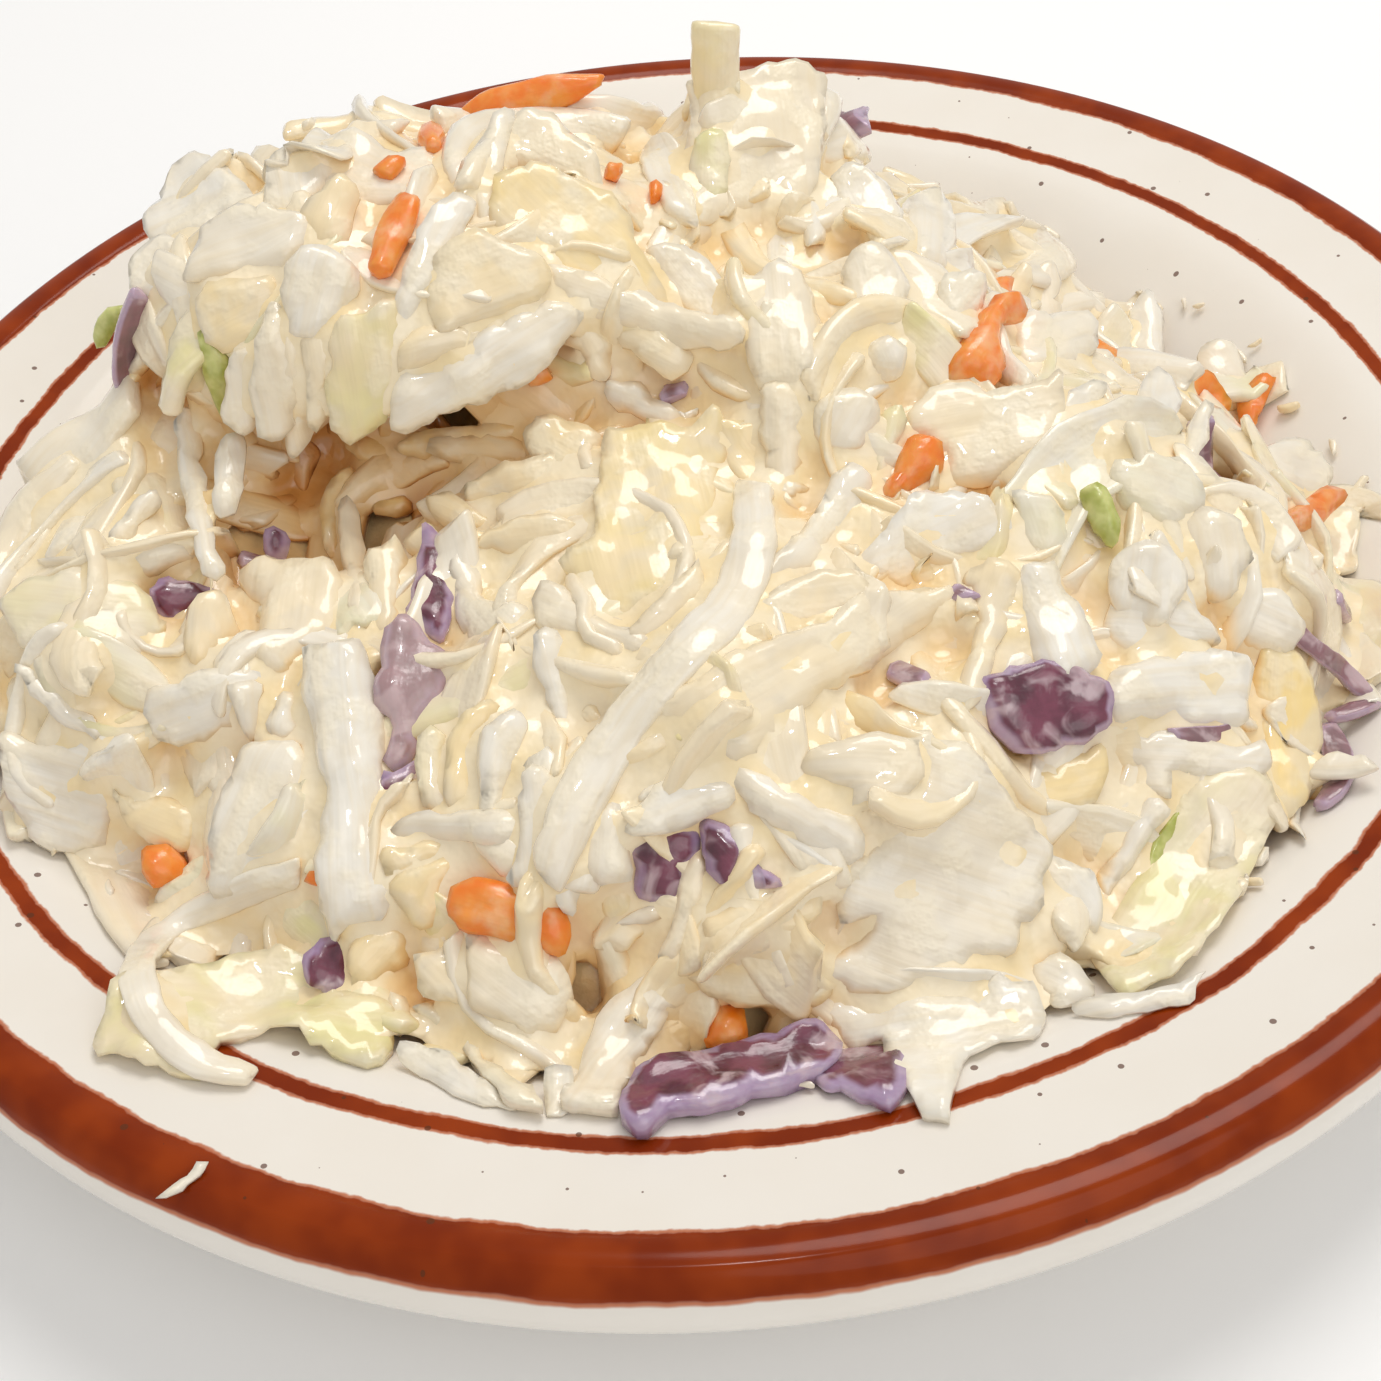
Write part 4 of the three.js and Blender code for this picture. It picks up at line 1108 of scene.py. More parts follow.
        (760, 1098), (720, 1110), (680, 1116), (650, 1128), (632, 1130)], "red", over=0.6, grain=-15),
    "shadow red": traced(1.4, [(812, 1022), (850, 1015), (898, 1030), (914, 1074), (890, 1100), (850, 1096),
        (815, 1080)], "red", over=-1.4),
    "low carrot": traced(2.2, [(702, 1035), (712, 1020), (725, 1008), (745, 1010), (750, 1030), (745, 1042),
        (725, 1048), (708, 1046)], "carrot", over=0.8),
    "lilac flap": traced(1.2, [(322, 938), (346, 934), (353, 950), (350, 985), (338, 998), (320, 990),
        (302, 965)], "red"),
    "amber front flap": traced(1.3, [(352, 945), (370, 928), (400, 930), (415, 945), (405, 965), (385, 975),
        (365, 992), (350, 985)], tint=0.9),
    "drop": traced(1.6, [(392, 992), (405, 998), (412, 1020), (400, 1038), (388, 1030), (386, 1005)],
        tint=0.6),
    "amber flap": traced(1.3, [(388, 880), (420, 868), (450, 862), (452, 890), (440, 920), (422, 928),
        (400, 905), (392, 895)], tint=0.9),
    "front carrot": traced(2.2, [(448, 905), (455, 885), (475, 872), (500, 880), (530, 885), (555, 895),
        (568, 915), (570, 945), (560, 960), (540, 950), (515, 945), (490, 935), (465, 930)], "carrot",
        over=0.3),
    "front piece": traced(1.6, [(705, 925), (740, 905), (790, 888), (822, 892), (815, 920), (790, 935),
        (760, 955), (735, 960), (718, 950)], tint=0.7),
    "red bit a": traced(1.6, [(625, 840), (640, 832), (690, 826), (700, 850), (690, 870), (680, 905),
        (660, 900), (640, 895), (630, 880), (632, 860)], "red"),
    "pale tail": traced(1.1, [(618, 925), (640, 908), (665, 905), (668, 915), (645, 925)], tint=0.1),
    "red bit b": traced(1.6, [(700, 825), (725, 822), (745, 840), (765, 865), (788, 885), (755, 890),
        (745, 880), (735, 895), (720, 880), (708, 860)], "red", over=0.4),
    "thin shred": traced(1.6, [(690, 855), (705, 850), (712, 880), (700, 910), (685, 950), (675, 965),
        (660, 965), (662, 945), (675, 910), (682, 880)], tint=0.3, over=0.8),
    "grey shard": traced(1.2, [(1018, 842), (1035, 840), (1060, 862), (1085, 870), (1100, 890), (1100, 920),
        (1090, 935), (1060, 930), (1035, 890), (1022, 865)], tint=-0.2),
    "slab arm": traced(1.6, [(722, 768), (742, 766), (780, 785), (810, 800), (850, 820), (870, 850),
        (850, 865), (835, 862), (800, 842), (765, 820), (742, 805)], tint=0.1, over=0.4),
    "large white slice": traced(1.8, [(905, 735), (940, 735), (975, 752), (990, 770), (1000, 790),
        (1020, 815), (1050, 845), (1052, 862), (1040, 880), (1045, 905), (1020, 925), (1010, 950),
        (985, 960), (950, 972), (905, 990), (860, 992), (835, 985), (822, 965), (850, 945), (872, 930),
        (872, 915), (838, 920), (838, 880), (850, 860), (880, 840), (900, 800), (915, 780)], tint=0.15,
        over=0.5, grain=20),
    "slab top": traced(1.5, [(798, 765), (820, 748), (850, 740), (880, 730), (905, 735), (920, 745),
        (915, 790), (895, 800), (865, 815), (850, 815), (852, 790), (820, 780)], tint=0.3, over=0.9),
    "amber sliver": traced(1.1, [(455, 735), (480, 700), (500, 705), (485, 740), (480, 810), (455, 810),
        (448, 770)], tint=0.9),
    "green sliver": traced(1.2, [(418, 735), (440, 730), (448, 760), (450, 805), (425, 808), (415, 780)],
        tint=0.4, green=0.25),
    "upright shred b": traced(1.8, [(500, 715), (520, 712), (528, 720), (520, 760), (505, 800), (500, 815),
        (482, 812), (480, 760), (485, 740)], tint=0.0, over=0.5),
    "yellow band": traced(1.6, [(385, 850), (430, 843), (460, 845), (440, 860), (410, 870), (388, 878),
        (383, 865)], tint=0.9),
    "low cross shred": traced(1.8, [(395, 825), (430, 812), (480, 810), (520, 812), (525, 828), (515, 842),
        (470, 845), (430, 842), (395, 842)], tint=0.1, over=0.5),
    "red upright slice": traced(1.8, [(430, 522), (446, 548), (452, 600), (446, 645), (432, 640),
        (412, 620), (414, 580), (422, 545)], "red", over=0.6),
    "middle strand": traced(1.8, [(345, 498), (360, 515), (366, 560), (370, 600), (366, 645), (352, 640),
        (350, 590), (340, 545), (338, 515)], tint=0.3),
    "middle block": traced(1.8, [(365, 560), (395, 545), (405, 560), (404, 600), (398, 640), (375, 640),
        (370, 600)], tint=0.5),
    "curved strip": traced(1.5, [(452, 555), (475, 565), (484, 600), (520, 605), (535, 620), (530, 640),
        (500, 648), (470, 640), (456, 610)], tint=0.2),
    "red tip": traced(1.4, [(385, 770), (398, 776), (415, 760), (412, 800), (400, 825), (386, 830),
        (384, 800)], "red"),
    "mauve slice": traced(1.4, [(399, 617), (414, 620), (430, 640), (448, 650), (450, 690), (437, 705),
        (420, 725), (415, 745), (405, 765), (398, 775), (385, 760), (390, 730), (378, 705), (376, 680),
        (386, 640)], "red", tint=1.0, over=0.5),
    "ribbed slice": traced(2.6, [(305, 650), (345, 640), (368, 650), (378, 700), (386, 725), (384, 790),
        (385, 880), (390, 905), (380, 922), (350, 925), (335, 942), (325, 920), (318, 880), (320, 840),
        (322, 780), (310, 730), (302, 690)], tint=-0.2, over=1.2, grain=85),
    "gap red": traced(1.2, [(262, 540), (276, 528), (290, 540), (284, 560), (268, 560)], "red", over=-0.6),
    # The gap pieces under the scoop lie low and are tinted yellow: partly painted shade, for the amber shade
    # in that gap, besides the real shade that lying low gives.
    "gap piece a": traced(1.2, [(345, 440), (385, 432), (420, 440), (430, 460), (405, 476), (375, 470),
        (352, 455)], tint=1.2, over=-1.5),
    "gap piece b": traced(1.2, [(370, 510), (405, 495), (412, 510), (395, 520)], tint=1.2, over=-1.5),
    "gap fan": traced(1.2, [(436, 440), (500, 436), (560, 450), (560, 470), (500, 465), (440, 460)],
        tint=0.8, over=-0.8),
    "gap fan b": traced(1.2, [(463, 500), (500, 470), (550, 455), (575, 470), (540, 495), (490, 505)],
        tint=0.7, over=-0.6),
    "gap fan c": traced(1.2, [(428, 497), (455, 495), (478, 515), (500, 530), (480, 540), (450, 530),
        (430, 515)], tint=0.8, over=-1.0),
    "gap fan d": traced(1.3, [(395, 448), (430, 430), (480, 424), (522, 430), (500, 450), (440, 458)],
        tint=1.1, over=-0.5),
    "gap fan e": traced(1.4, [(524, 428), (560, 416), (602, 436), (592, 482), (560, 476), (532, 456)],
        tint=0.8, over=-0.2),
    "gap fan f": traced(1.4, [(478, 545), (520, 520), (562, 518), (584, 540), (556, 556), (510, 562)],
        tint=0.6, over=0.0),
    "gap fan g": traced(1.3, [(405, 545), (425, 520), (440, 535), (470, 560), (455, 600), (430, 570)],
        tint=0.7, over=-0.2),
    "gap shred": traced(1.4, [(326, 500), (340, 470), (356, 476), (350, 520), (340, 560), (322, 548)],
        tint=1.0, over=-1.5),
    "under flap": traced(1.3, [(608, 384), (640, 386), (664, 402), (685, 412), (698, 412), (690, 424),
        (655, 428), (625, 415), (605, 402)], tint=0.1),
    "shown left slice": traced(1.6, [(540, 580), (562, 585), (590, 610), (620, 630), (655, 642), (650, 655),
        (600, 652), (560, 640), (535, 625)], tint=0.3),
    "lower leaf": traced(1.1, [(660, 600), (690, 570), (698, 560), (705, 590), (690, 620), (665, 640),
        (640, 645), (625, 628)], tint=0.5),
    "yellow leaf": traced(1.2, [(600, 440), (605, 430), (620, 425), (660, 425), (690, 425), (712, 405),
        (726, 425), (722, 470), (712, 520), (700, 550), (680, 580), (660, 600), (640, 615), (620, 622),
        (600, 608), (580, 590), (562, 570), (555, 560), (570, 545), (590, 540), (597, 500)], tint=0.9,
        green=0.15, grain=75, over=0.3),
    "flap under": traced(1.5, [(815, 572), (850, 575), (880, 590), (890, 600), (860, 625), (815, 635),
        (780, 630), (752, 612), (770, 592)], tint=0.4),
    "middle shred": traced(1.8, [(850, 458), (868, 475), (872, 505), (855, 530), (835, 548), (812, 572),
        (790, 575), (770, 590), (745, 605), (752, 580), (775, 560), (800, 530), (825, 495)], tint=0.1,
        over=0.4),
    "glossy leaf": traced(1.1, [(855, 568), (872, 545), (890, 525), (905, 505), (925, 494), (970, 492),
        (1000, 510), (1014, 532), (1005, 546), (975, 556), (955, 568), (940, 575), (925, 590), (905, 592),
        (885, 582), (862, 580)], tint=0.0, wave=0.5, over=0.8),
    "bent shred": traced(1.5, [(965, 575), (1000, 560), (1022, 575), (1018, 600), (1000, 640), (985, 690),
        (965, 718), (948, 712), (965, 670), (975, 630)], tint=0.5, over=0.4),
    "broad band": traced(2.0, [(855, 600), (900, 590), (950, 590), (950, 610), (905, 640), (870, 668),
        (835, 690), (810, 705), (780, 735), (755, 752), (735, 760), (705, 750), (690, 735), (660, 720),
        (665, 700), (700, 680), (735, 655), (770, 640), (810, 632)], tint=0.4, over=0.6),
    "translucent strip": traced(1.2, [(545, 630), (560, 640), (572, 690), (575, 735), (560, 730),
        (546, 700), (532, 660)], tint=0.0),
    "lower long end": traced(1.8, [(525, 770), (545, 765), (560, 790), (580, 800), (580, 850), (578, 890),
        (572, 915), (555, 900), (530, 892), (508, 885), (515, 850), (522, 820)], tint=0.1),
    "left white piece": traced(1.8, [(590, 815), (610, 800), (625, 812), (628, 850), (635, 870), (630, 880),
        (600, 885), (582, 860)], tint=0.1),
    "cross shred": traced(1.8, [(625, 835), (640, 800), (665, 780), (710, 775), (730, 785), (735, 800),
        (710, 815), (690, 828), (660, 832)], tint=0.0, over=0.7),
}
# Dressing that has run onto the glaze, by the pixels of its outline.
FILMS = [
    [(160, 1196), (172, 1186), (186, 1178), (200, 1160), (210, 1158), (206, 1168), (194, 1184), (178, 1195)],
    [(400, 1040), (440, 1050), (484, 1080), (516, 1112), (474, 1106), (430, 1084), (402, 1062)],
    [(540, 1080), (568, 1070), (574, 1112), (552, 1122)],
    [(1070, 1004), (1120, 992), (1180, 984), (1204, 972), (1196, 998), (1146, 1014), (1090, 1022)],
]
FILM_LOOK = {"bed": "glaze", "lift": -0.1, "thickness": 0.3, "relief": 0.1, "tint": 0.0, "bend": 1.0}
# A flake's net has points this far apart, and its outline wanders this far over such a length.
FLAKE_STEP = 0.95
FLAKE_RAG, FLAKE_RAG_LENGTH = 0.2, 2.4
# How far under its cap a flake may lie, how far it bends from flat for its size, and how far from the middle
# depth, along the sight lines, a point may lie to count for that flat.
FLAKE_DROOP = 1.6
FLAKE_BEND = 0.14
FLAKE_SLOPE = 10.0


def smooth_ring(knots, step):
    """A closed outline through the knots, rounded a little at each, in steps of about that many pixels."""
    ring = np.array(knots, float)
    before, after, beyond = np.roll(ring, 1, 0), np.roll(ring, -1, 0), np.roll(ring, -2, 0)
    points = []
    for a, b, c, d in zip(before, ring, after, beyond):
        points.append(spline(a, b, c, d, max(1, int(round(np.linalg.norm(c - b) / step)))))
    return np.concatenate(points)


def within(points, ring):
    """Which points lie inside the closed outline."""
    inside = np.zeros(len(points), bool)
    for a, b in zip(ring, np.roll(ring, -1, 0)):
        crosses = (a[1] > points[:, 1]) != (b[1] > points[:, 1])
        where = a[0] + (points[:, 1] - a[1]) * (b[0] - a[0]) / (b[1] - a[1] if b[1] != a[1] else 1e-9)
        inside ^= crosses & (points[:, 0] < where)
    return inside


def spread(values, pairs, count, passes):
    """Values on a net of points, each moved half way to its neighbours' mean."""
    values = np.array(values, float)
    ends = np.concatenate([pairs[:, 0], pairs[:, 1]])
    others = np.concatenate([pairs[:, 1], pairs[:, 0]])
    share = np.maximum(np.bincount(ends, minlength=count), 1)
    flat = values.reshape(count, -1)
    for _ in range(passes):
        mean = np.stack([np.bincount(ends, flat[others, i], count) for i in range(flat.shape[1])], -1)
        flat = 0.5 * flat + 0.5 * mean / share[:, None]
    return flat.reshape(values.shape)


def flake(skin, outline, look, cap):
    """A broad thin piece whose outline the camera sees at these pixels, laid on the pile."""
    seed, thickness = look["seed"], look["thickness"]
    over = look.get("over", 0.0)
    stand, cap = PHOTO_LIFT + over, cap + over
    middle = seen_at(np.mean(outline, 0, keepdims=True), stand)[0]
    scale = FOCAL_PIXELS / np.linalg.norm(middle - CAMERA_AT)
    step = FLAKE_STEP * scale
    ring = smooth_ring(outline, 0.8 * step)
    flat = np.concatenate([ring, np.full((len(ring), 1), seed % 13)], 1)
    rag = [ripple(flat, FLAKE_RAG_LENGTH * scale, seed + axis) for axis in (0, 1)]
    ring = ring + FLAKE_RAG * scale * np.stack(rag, -1)
    spans = [np.arange(low, high, step) for low, high in zip(ring.min(0), ring.max(0))]
    grid = np.stack(np.meshgrid(*spans), -1).reshape(-1, 2)
    grid = grid + np.random.default_rng(seed).uniform(-0.25, 0.25, grid.shape) * step
    grid = grid[within(grid, ring)]
    grid = grid[away(grid, ring) > 0.55 * step]
    pixels = np.concatenate([ring, grid])
    rim = [(i, (i + 1) % len(ring)) for i in range(len(ring))]
    net = delaunay_2d_cdt([Vector(p) for p in pixels], rim, [list(range(len(ring)))], 1, 1e-4)
    pixels = np.array([tuple(p) for p in net[0]])
    faces = np.array([f for f in net[2] if len(f) == 3])
    count = len(pixels)
    sides = np.concatenate([faces[:, [0, 1]], faces[:, [1, 2]], faces[:, [2, 0]]])
    pairs = np.unique(np.sort(sides, 1), axis=0)
    bed = {"curtain": curtain, "glaze": over_glaze}.get(look.get("bed"), bed_distance)
    ways = sight_lines(pixels)
    offset = (pixels - pixels.mean(0)) / scale
    if bed is not bed_distance:
        rest = depths(pixels, look.get("lift", 0.6), bed)
    else:
        rest = np.clip(pile.seen(ways), depths(pixels, cap, bed), depths(pixels, cap - FLAKE_DROOP, bed))
    level = np.concatenate([offset, np.ones((count, 1))], 1)
    near = np.abs(rest - np.median(rest)) < FLAKE_SLOPE
    sheet = level @ np.linalg.lstsq(level[near], rest[near], rcond=None)[0]
    bend = look.get("bend", FLAKE_BEND) * np.ptp(offset, axis=0).max()
    rest = np.clip(rest, sheet - bend, sheet + bend)
    for _ in range(5):
        rest = np.minimum(spread(rest, pairs, count, 8), rest)
    rest = spread(rest, pairs, count, 12)
    if bed is not over_glaze:
        rest = np.minimum(rest, depths(pixels, 0.4, over_glaze))
    base = CAMERA_AT + ways * rest[:, None]
    normals = unit(spread(outward(base, bed=bed), pairs, count, 16))
    longest = np.linalg.eigh(np.cov(offset.T))[1][:, 1]
    grain = math.radians(look["grain"]) if "grain" in look else math.atan2(longest[1], longest[0])
    along = offset[:, 0] * math.cos(grain) + offset[:, 1] * math.sin(grain)
    across = offset[:, 1] * math.cos(grain) - offset[:, 0] * math.sin(grain)
    inward = away(pixels, ring) / scale
    ruffle = look.get("wave", 0.2) * ripple(base, 9.0, seed + 2) * np.exp(-inward / 4)
    veins = np.stack([0.12 * along, across, np.zeros(count)], -1)
    folds = 0.16 * ripple(base, 7.0, seed + 3) + 0.05 * ripple(base, 2.6, seed + 4)
    folds = folds + 0.1 * ripple(veins, 2.6, seed + 5)
    rise = (ruffle + folds) * look.get("relief", 1.0)
    edge = np.clip(1 - inward / 0.5, 0, 1)
    inset = np.clip(1 - inward / (0.3 + 0.25 * thickness), 0, 1)
    bulge = 0.25 + 0.75 * np.sqrt(1 - inset**2)
    top = base + normals * (rise + thickness / 2 * bulge)[:, None]
    bottom = base + normals * (rise - thickness / 2 * bulge)[:, None]
    counts = {}
    for a, b in sides.tolist():
        counts[(a, b)] = counts.get((a, b), 0) + 1
    rims = np.array([(a, b) for a, b in counts if (b, a) not in counts])
    areas = np.cross(top[faces[:, 1]] - top[faces[:, 0]], top[faces[:, 2]] - top[faces[:, 0]])
    facing = (areas * normals[faces[:, 0]]).sum()
    upper = faces if facing > 0 else faces[:, ::-1]
    rims = rims if facing > 0 else rims[:, ::-1]
    tops = np.concatenate([np.ones(count), np.zeros(count)])
    points = cleared(np.concatenate([top, bottom]), STAND_OFF + STAND_SHARE * thickness * tops)
    tris = np.concatenate([upper, upper[:, ::-1] + count])
    quads = np.stack([rims[:, 1], rims[:, 0], rims[:, 0] + count, rims[:, 1] + count], -1)
    twice = [np.concatenate([values, values]) for values in (along, across, edge)]
    skin.add(points, quads, tris, point_values(look, 2 * count, *twice))
    if bed is bed_distance:
        pile.add(top, upper)
    area = np.linalg.norm(areas, axis=1).sum() / 2
    crowding.add((top + bottom) / 2, area * thickness / count)


# ---- Dressing: it has run together between the pieces ----------------------------------------------

# Its voxels, how often it is smoothed, how far it lies inside the pieces, and half the gap that it bridges.
DRESSING_VOXEL = 0.82
DRESSING_PASSES = 2
DRESSING_INSET = 0.28
BRIDGED = 0.35


def voxel_skin(points, quads, tris, voxel):
    """The outer surface of closed pieces that cross each other, as points and quads."""
    mesh = bpy.data.meshes.new("pieces")
    filled(mesh, points, quads, tris)
    body = bpy.data.objects.new("pieces", mesh)
    bpy.context.scene.collection.objects.link(body)
    return largest(*remeshed(body, voxel))


def largest(points, quads):
    """The part of a quad mesh that has the most points and hangs together."""
    sides = quad_sides(quads)
    label = np.arange(len(points))
    while True:
        low = np.minimum(label[sides[:, 0]], label[sides[:, 1]])
        new = label.copy()
        np.minimum.at(new, sides[:, 0], low)
        np.minimum.at(new, sides[:, 1], low)
        new = new[new]
        if (new == label).all():
            break
        label = new
    kept = label == np.bincount(label).argmax()
    number = np.cumsum(kept) - 1
    return points[kept], number[quads[kept[quads[:, 0]]]]


def quad_normals(points, quads):
    """Outward normals at the points of a quad mesh."""
    ways = np.cross(points[quads[:, 2]] - points[quads[:, 0]], points[quads[:, 3]] - points[quads[:, 1]])
    total = np.zeros_like(points)
    for corner in range(4):
        for axis in range(3):
            total[:, axis] += np.bincount(quads[:, corner], ways[:, axis], len(points))
    return unit(total)


def make_dressing(skins):
    """A skin over all the pieces that bridges narrow gaps, drawn in so that it shows only where they meet."""
    points, quads, tris, start = [], [], [], 0
    for skin in skins:
        points += skin.points
        quads += [part + start for part in skin.quads]
        tris += [part + start for part in skin.tris]
        start += skin.count
    points, quads, tris = (np.concatenate(parts) for parts in (points, quads, tris))
    points, quads = voxel_skin(points, quads, tris, DRESSING_VOXEL)
    points = points + quad_normals(points, quads) * BRIDGED
    points, quads = voxel_skin(points, quads, NO_TRIS, DRESSING_VOXEL)
    points = spread(points, quad_sides(quads), len(points), DRESSING_PASSES)
    inset = BRIDGED + DRESSING_INSET * (1 + 0.5 * ripple(points, 6.0, 31))
    points = points - quad_normals(points, quads) * inset[:, None]
    points = spread(points, quad_sides(quads), len(points), DRESSING_PASSES)
    upward = np.clip(quad_normals(points, quads)[:, 2] + 0.3, 0, 1)
    points = cleared(points, 0.1 + 0.7 * upward)
    skin = Skin()
    skin.add(points, quads, NO_TRIS, {})
    skin.made("dressing", dressing_paint())


# ---- Materials --------------------------------------------------------------------------------------


class Paint:
    """A node material, built a node at a time."""

    def __init__(self, name):
        self.material = bpy.data.materials.new(name)
        self.material.use_nodes = True
        self.tree = self.material.node_tree
        self.shader = self.tree.nodes["Principled BSDF"]
        self.object = self.tree.nodes.new("ShaderNodeTexCoord").outputs["Object"]

    def set(self, **values):
        """Sets the shader's inputs by name, with _ for a space."""
        for key, value in values.items():
            self.join(self.shader.inputs[key.replace("_", " ")], value)

    def join(self, socket, value):
        if isinstance(value, bpy.types.NodeSocket):
            self.tree.links.new(value, socket)
        else:
            socket.default_value = value

    def node(self, kind, inputs, **settings):
        node = self.tree.nodes.new("ShaderNode" + kind)
        for key, value in settings.items():
            setattr(node, key, value)
        for key, value in inputs.items():
            self.join(node.inputs[key], value)
        return node

    def value(self, name):
        """A value that the mesh holds for each of its points."""
        return self.node("Attribute", {}, attribute_name=name).outputs["Fac"]

    def math(self, operation, a, b=0.0):
        return self.node("Math", {0: a, 1: b}, operation=operation).outputs[0]

    def times(self, a, b):
        return self.math("MULTIPLY", a, b)

    def plus(self, a, b):
        return self.math("ADD", a, b)

    def less(self, a, b):
        return self.math("SUBTRACT", a, b)

    def mix(self, share, a, b):
        return self.node("Mix", {0: share, 6: a, 7: b}, data_type="RGBA").outputs[2]

    def noise(self, size, detail=2.0, vector=None, distortion=0.0):
        """Noise with features about size millimetres across, from 0 to 1."""
        inputs = {"Vector": vector or self.object, "Scale": 1 / (size * MM), "Detail": detail}
        return self.node("TexNoise", {**inputs, "Distortion": distortion}).outputs["Fac"]

    def ramp(self, value, low, high, to_low=0.0, to_high=1.0):
        """The value from low to high, eased, as one between to_low and to_high."""
        inputs = {0: value, 1: low, 2: high, 3: to_low, 4: to_high}
        return self.node("MapRange", inputs, interpolation_type="SMOOTHSTEP").outputs[0]

    def bump(self, height, depth, strength=1.0, normal=None):
        """A normal for relief that is depth millimetres deep."""
        inputs = {"Height": height, "Distance": depth * MM, "Strength": strength}
        if normal:
            inputs["Normal"] = normal
        return self.node("Bump", inputs).outputs["Normal"]

    def strip(self, along_size, across_size):
        """A place on the piece: along and across it, and its own number, for grain that runs with it."""
        along = self.times(self.value("along"), MM * across_size / along_size)
        across = self.times(self.value("across"), MM)
        own = self.value("own")
        return self.node("CombineXYZ", {0: along, 1: across, 2: own}).outputs[0]


def colour(red, green, blue):
    """An sRGB colour from 0 to 255 as the linear one that sockets take."""
    linear = [((c / 255 + 0.055) / 1.055) ** 2.4 if c > 10 else c / 255 / 12.92 for c in (red, green, blue)]
    return (*linear, 1.0)


WET = {"Coat_Weight": 1.0, "Coat_Roughness": 0.06, "Coat_IOR": 1.45, "IOR": 1.42}


def cabbage_paint():
    p = Paint("dressed_cabbage")
    patch = p.noise(6.0, 2.0)
    fibre = p.noise(0.9, 2.0, p.strip(12, 0.9))
    shade = p.plus(p.times(p.value("tint"), 0.8), p.times(patch, 0.4))
    base = p.mix(p.ramp(shade, 0.1, 0.75), colour(247, 241, 228), colour(253, 232, 190))
    base = p.mix(p.ramp(shade, 0.75, 1.2), base, colour(251, 222, 150))
    base = p.mix(p.times(p.value("green"), p.ramp(patch, 0.3, 0.7)), base, colour(226, 224, 142))
    grey = p.ramp(p.noise(5.0, 2.0, distortion=0.5), 0.48, 0.68, 0.0, 0.55)
    base = p.mix(grey, base, colour(234, 222, 200))
    base = p.mix(p.ramp(fibre, 0.42, 0.7, 0.0, 0.3), base, colour(238, 218, 178))
    dressing = p.ramp(p.noise(4.5, 3.0), 0.46, 0.62)
    base = p.mix(p.times(dressing, 0.5), base, colour(254, 242, 214))
    # Painted shade: amber to brown where a piece lies shut in between or under others.
    base = amber(p, base)
    relief = p.bump(fibre, 0.25, 0.5)
    relief = p.bump(p.noise(2.4, 1.0), 0.35, 0.4, relief)
    beads = p.times(dressing, p.noise(0.7, 1.0))
    p.set(Base_Color=base, Roughness=0.35, Normal=p.bump(beads, 0.25, 0.6, relief))
    p.set(**WET)
    return p.material


def amber(p, base):
    """Painted shade: the base colour turned amber, then brown, the deeper a point lies between and under the
    pieces, for the warm shade that light passing through them gives.
    """
    closed = p.value("closed")
    base = p.mix(p.ramp(closed, 0.22, 0.65, 0.0, 0.75), base, colour(246, 204, 134))
    base = p.mix(p.ramp(closed, 0.58, 0.95, 0.0, 0.85), base, colour(210, 136, 48))
    return p.mix(p.ramp(closed, 0.88, 1.0, 0.0, 0.6), base, colour(140, 76, 30))


def dressing_paint():
    p = Paint("dressing")
    base = p.mix(p.ramp(p.noise(5.0, 2.0), 0.35, 0.7), colour(254, 239, 207), colour(251, 228, 178))
    # Painted shade: amber to brown where the dressing lies shut in between the pieces.
    base = amber(p, base)
    waves = p.bump(p.noise(2.5), 0.4, 0.4)
    p.set(Base_Color=base, Roughness=0.3, Normal=p.bump(p.noise(1.0, 1.0), 0.25, 0.5, waves))
    p.set(**WET)
    return p.material


def core_paint():
    p = Paint("dressing_core_painted_shade")
    # Painted shade: the core is tan to brown where it lies shut in under the pieces, and cream only where it
    # lies open.
    base = p.mix(p.ramp(p.noise(4.0, 3.0), 0.35, 0.7), colour(220, 166, 98), colour(190, 132, 70))
    base = p.mix(p.ramp(p.value("closed"), 0.45, 0.95), colour(247, 214, 154), base)
    p.set(Base_Color=base, Roughness=0.3, Normal=p.bump(p.noise(1.4, 3.0), 0.4, 0.7))
    p.set(Coat_Weight=0.5, Coat_Roughness=0.15)
    return p.material


def red_paint():
    p = Paint("red_cabbage")
    skin = p.mix(p.ramp(p.noise(2.5, 3.0), 0.3, 0.7), colour(84, 34, 52), colour(128, 62, 84))
    flesh = p.mix(p.noise(1.5, 2.0), colour(206, 188, 206), colour(150, 110, 160))
    base = p.mix(p.ramp(p.value("edge"), 0.15, 0.7), skin, flesh)
    milk = p.ramp(p.noise(3.0, 3.0, distortion=0.6), 0.5, 0.68, 0.0, 0.75)
    base = p.mix(milk, base, colour(214, 190, 196))
    base = p.mix(p.times(p.value("tint"), 0.55), base, colour(208, 180, 178))
    grain = p.noise(0.7, 2.0, p.strip(8, 0.7))
    p.set(Base_Color=base, Roughness=0.25, Normal=p.bump(grain, 0.2, 0.4, p.bump(p.noise(1.2), 0.2, 0.5)))
    p.set(Subsurface_Weight=0.12, Subsurface_Radius=(1.0, 0.4, 0.5), Subsurface_Scale=0.0012)
    p.set(Coat_Weight=0.7, Coat_Roughness=0.08)
    return p.material


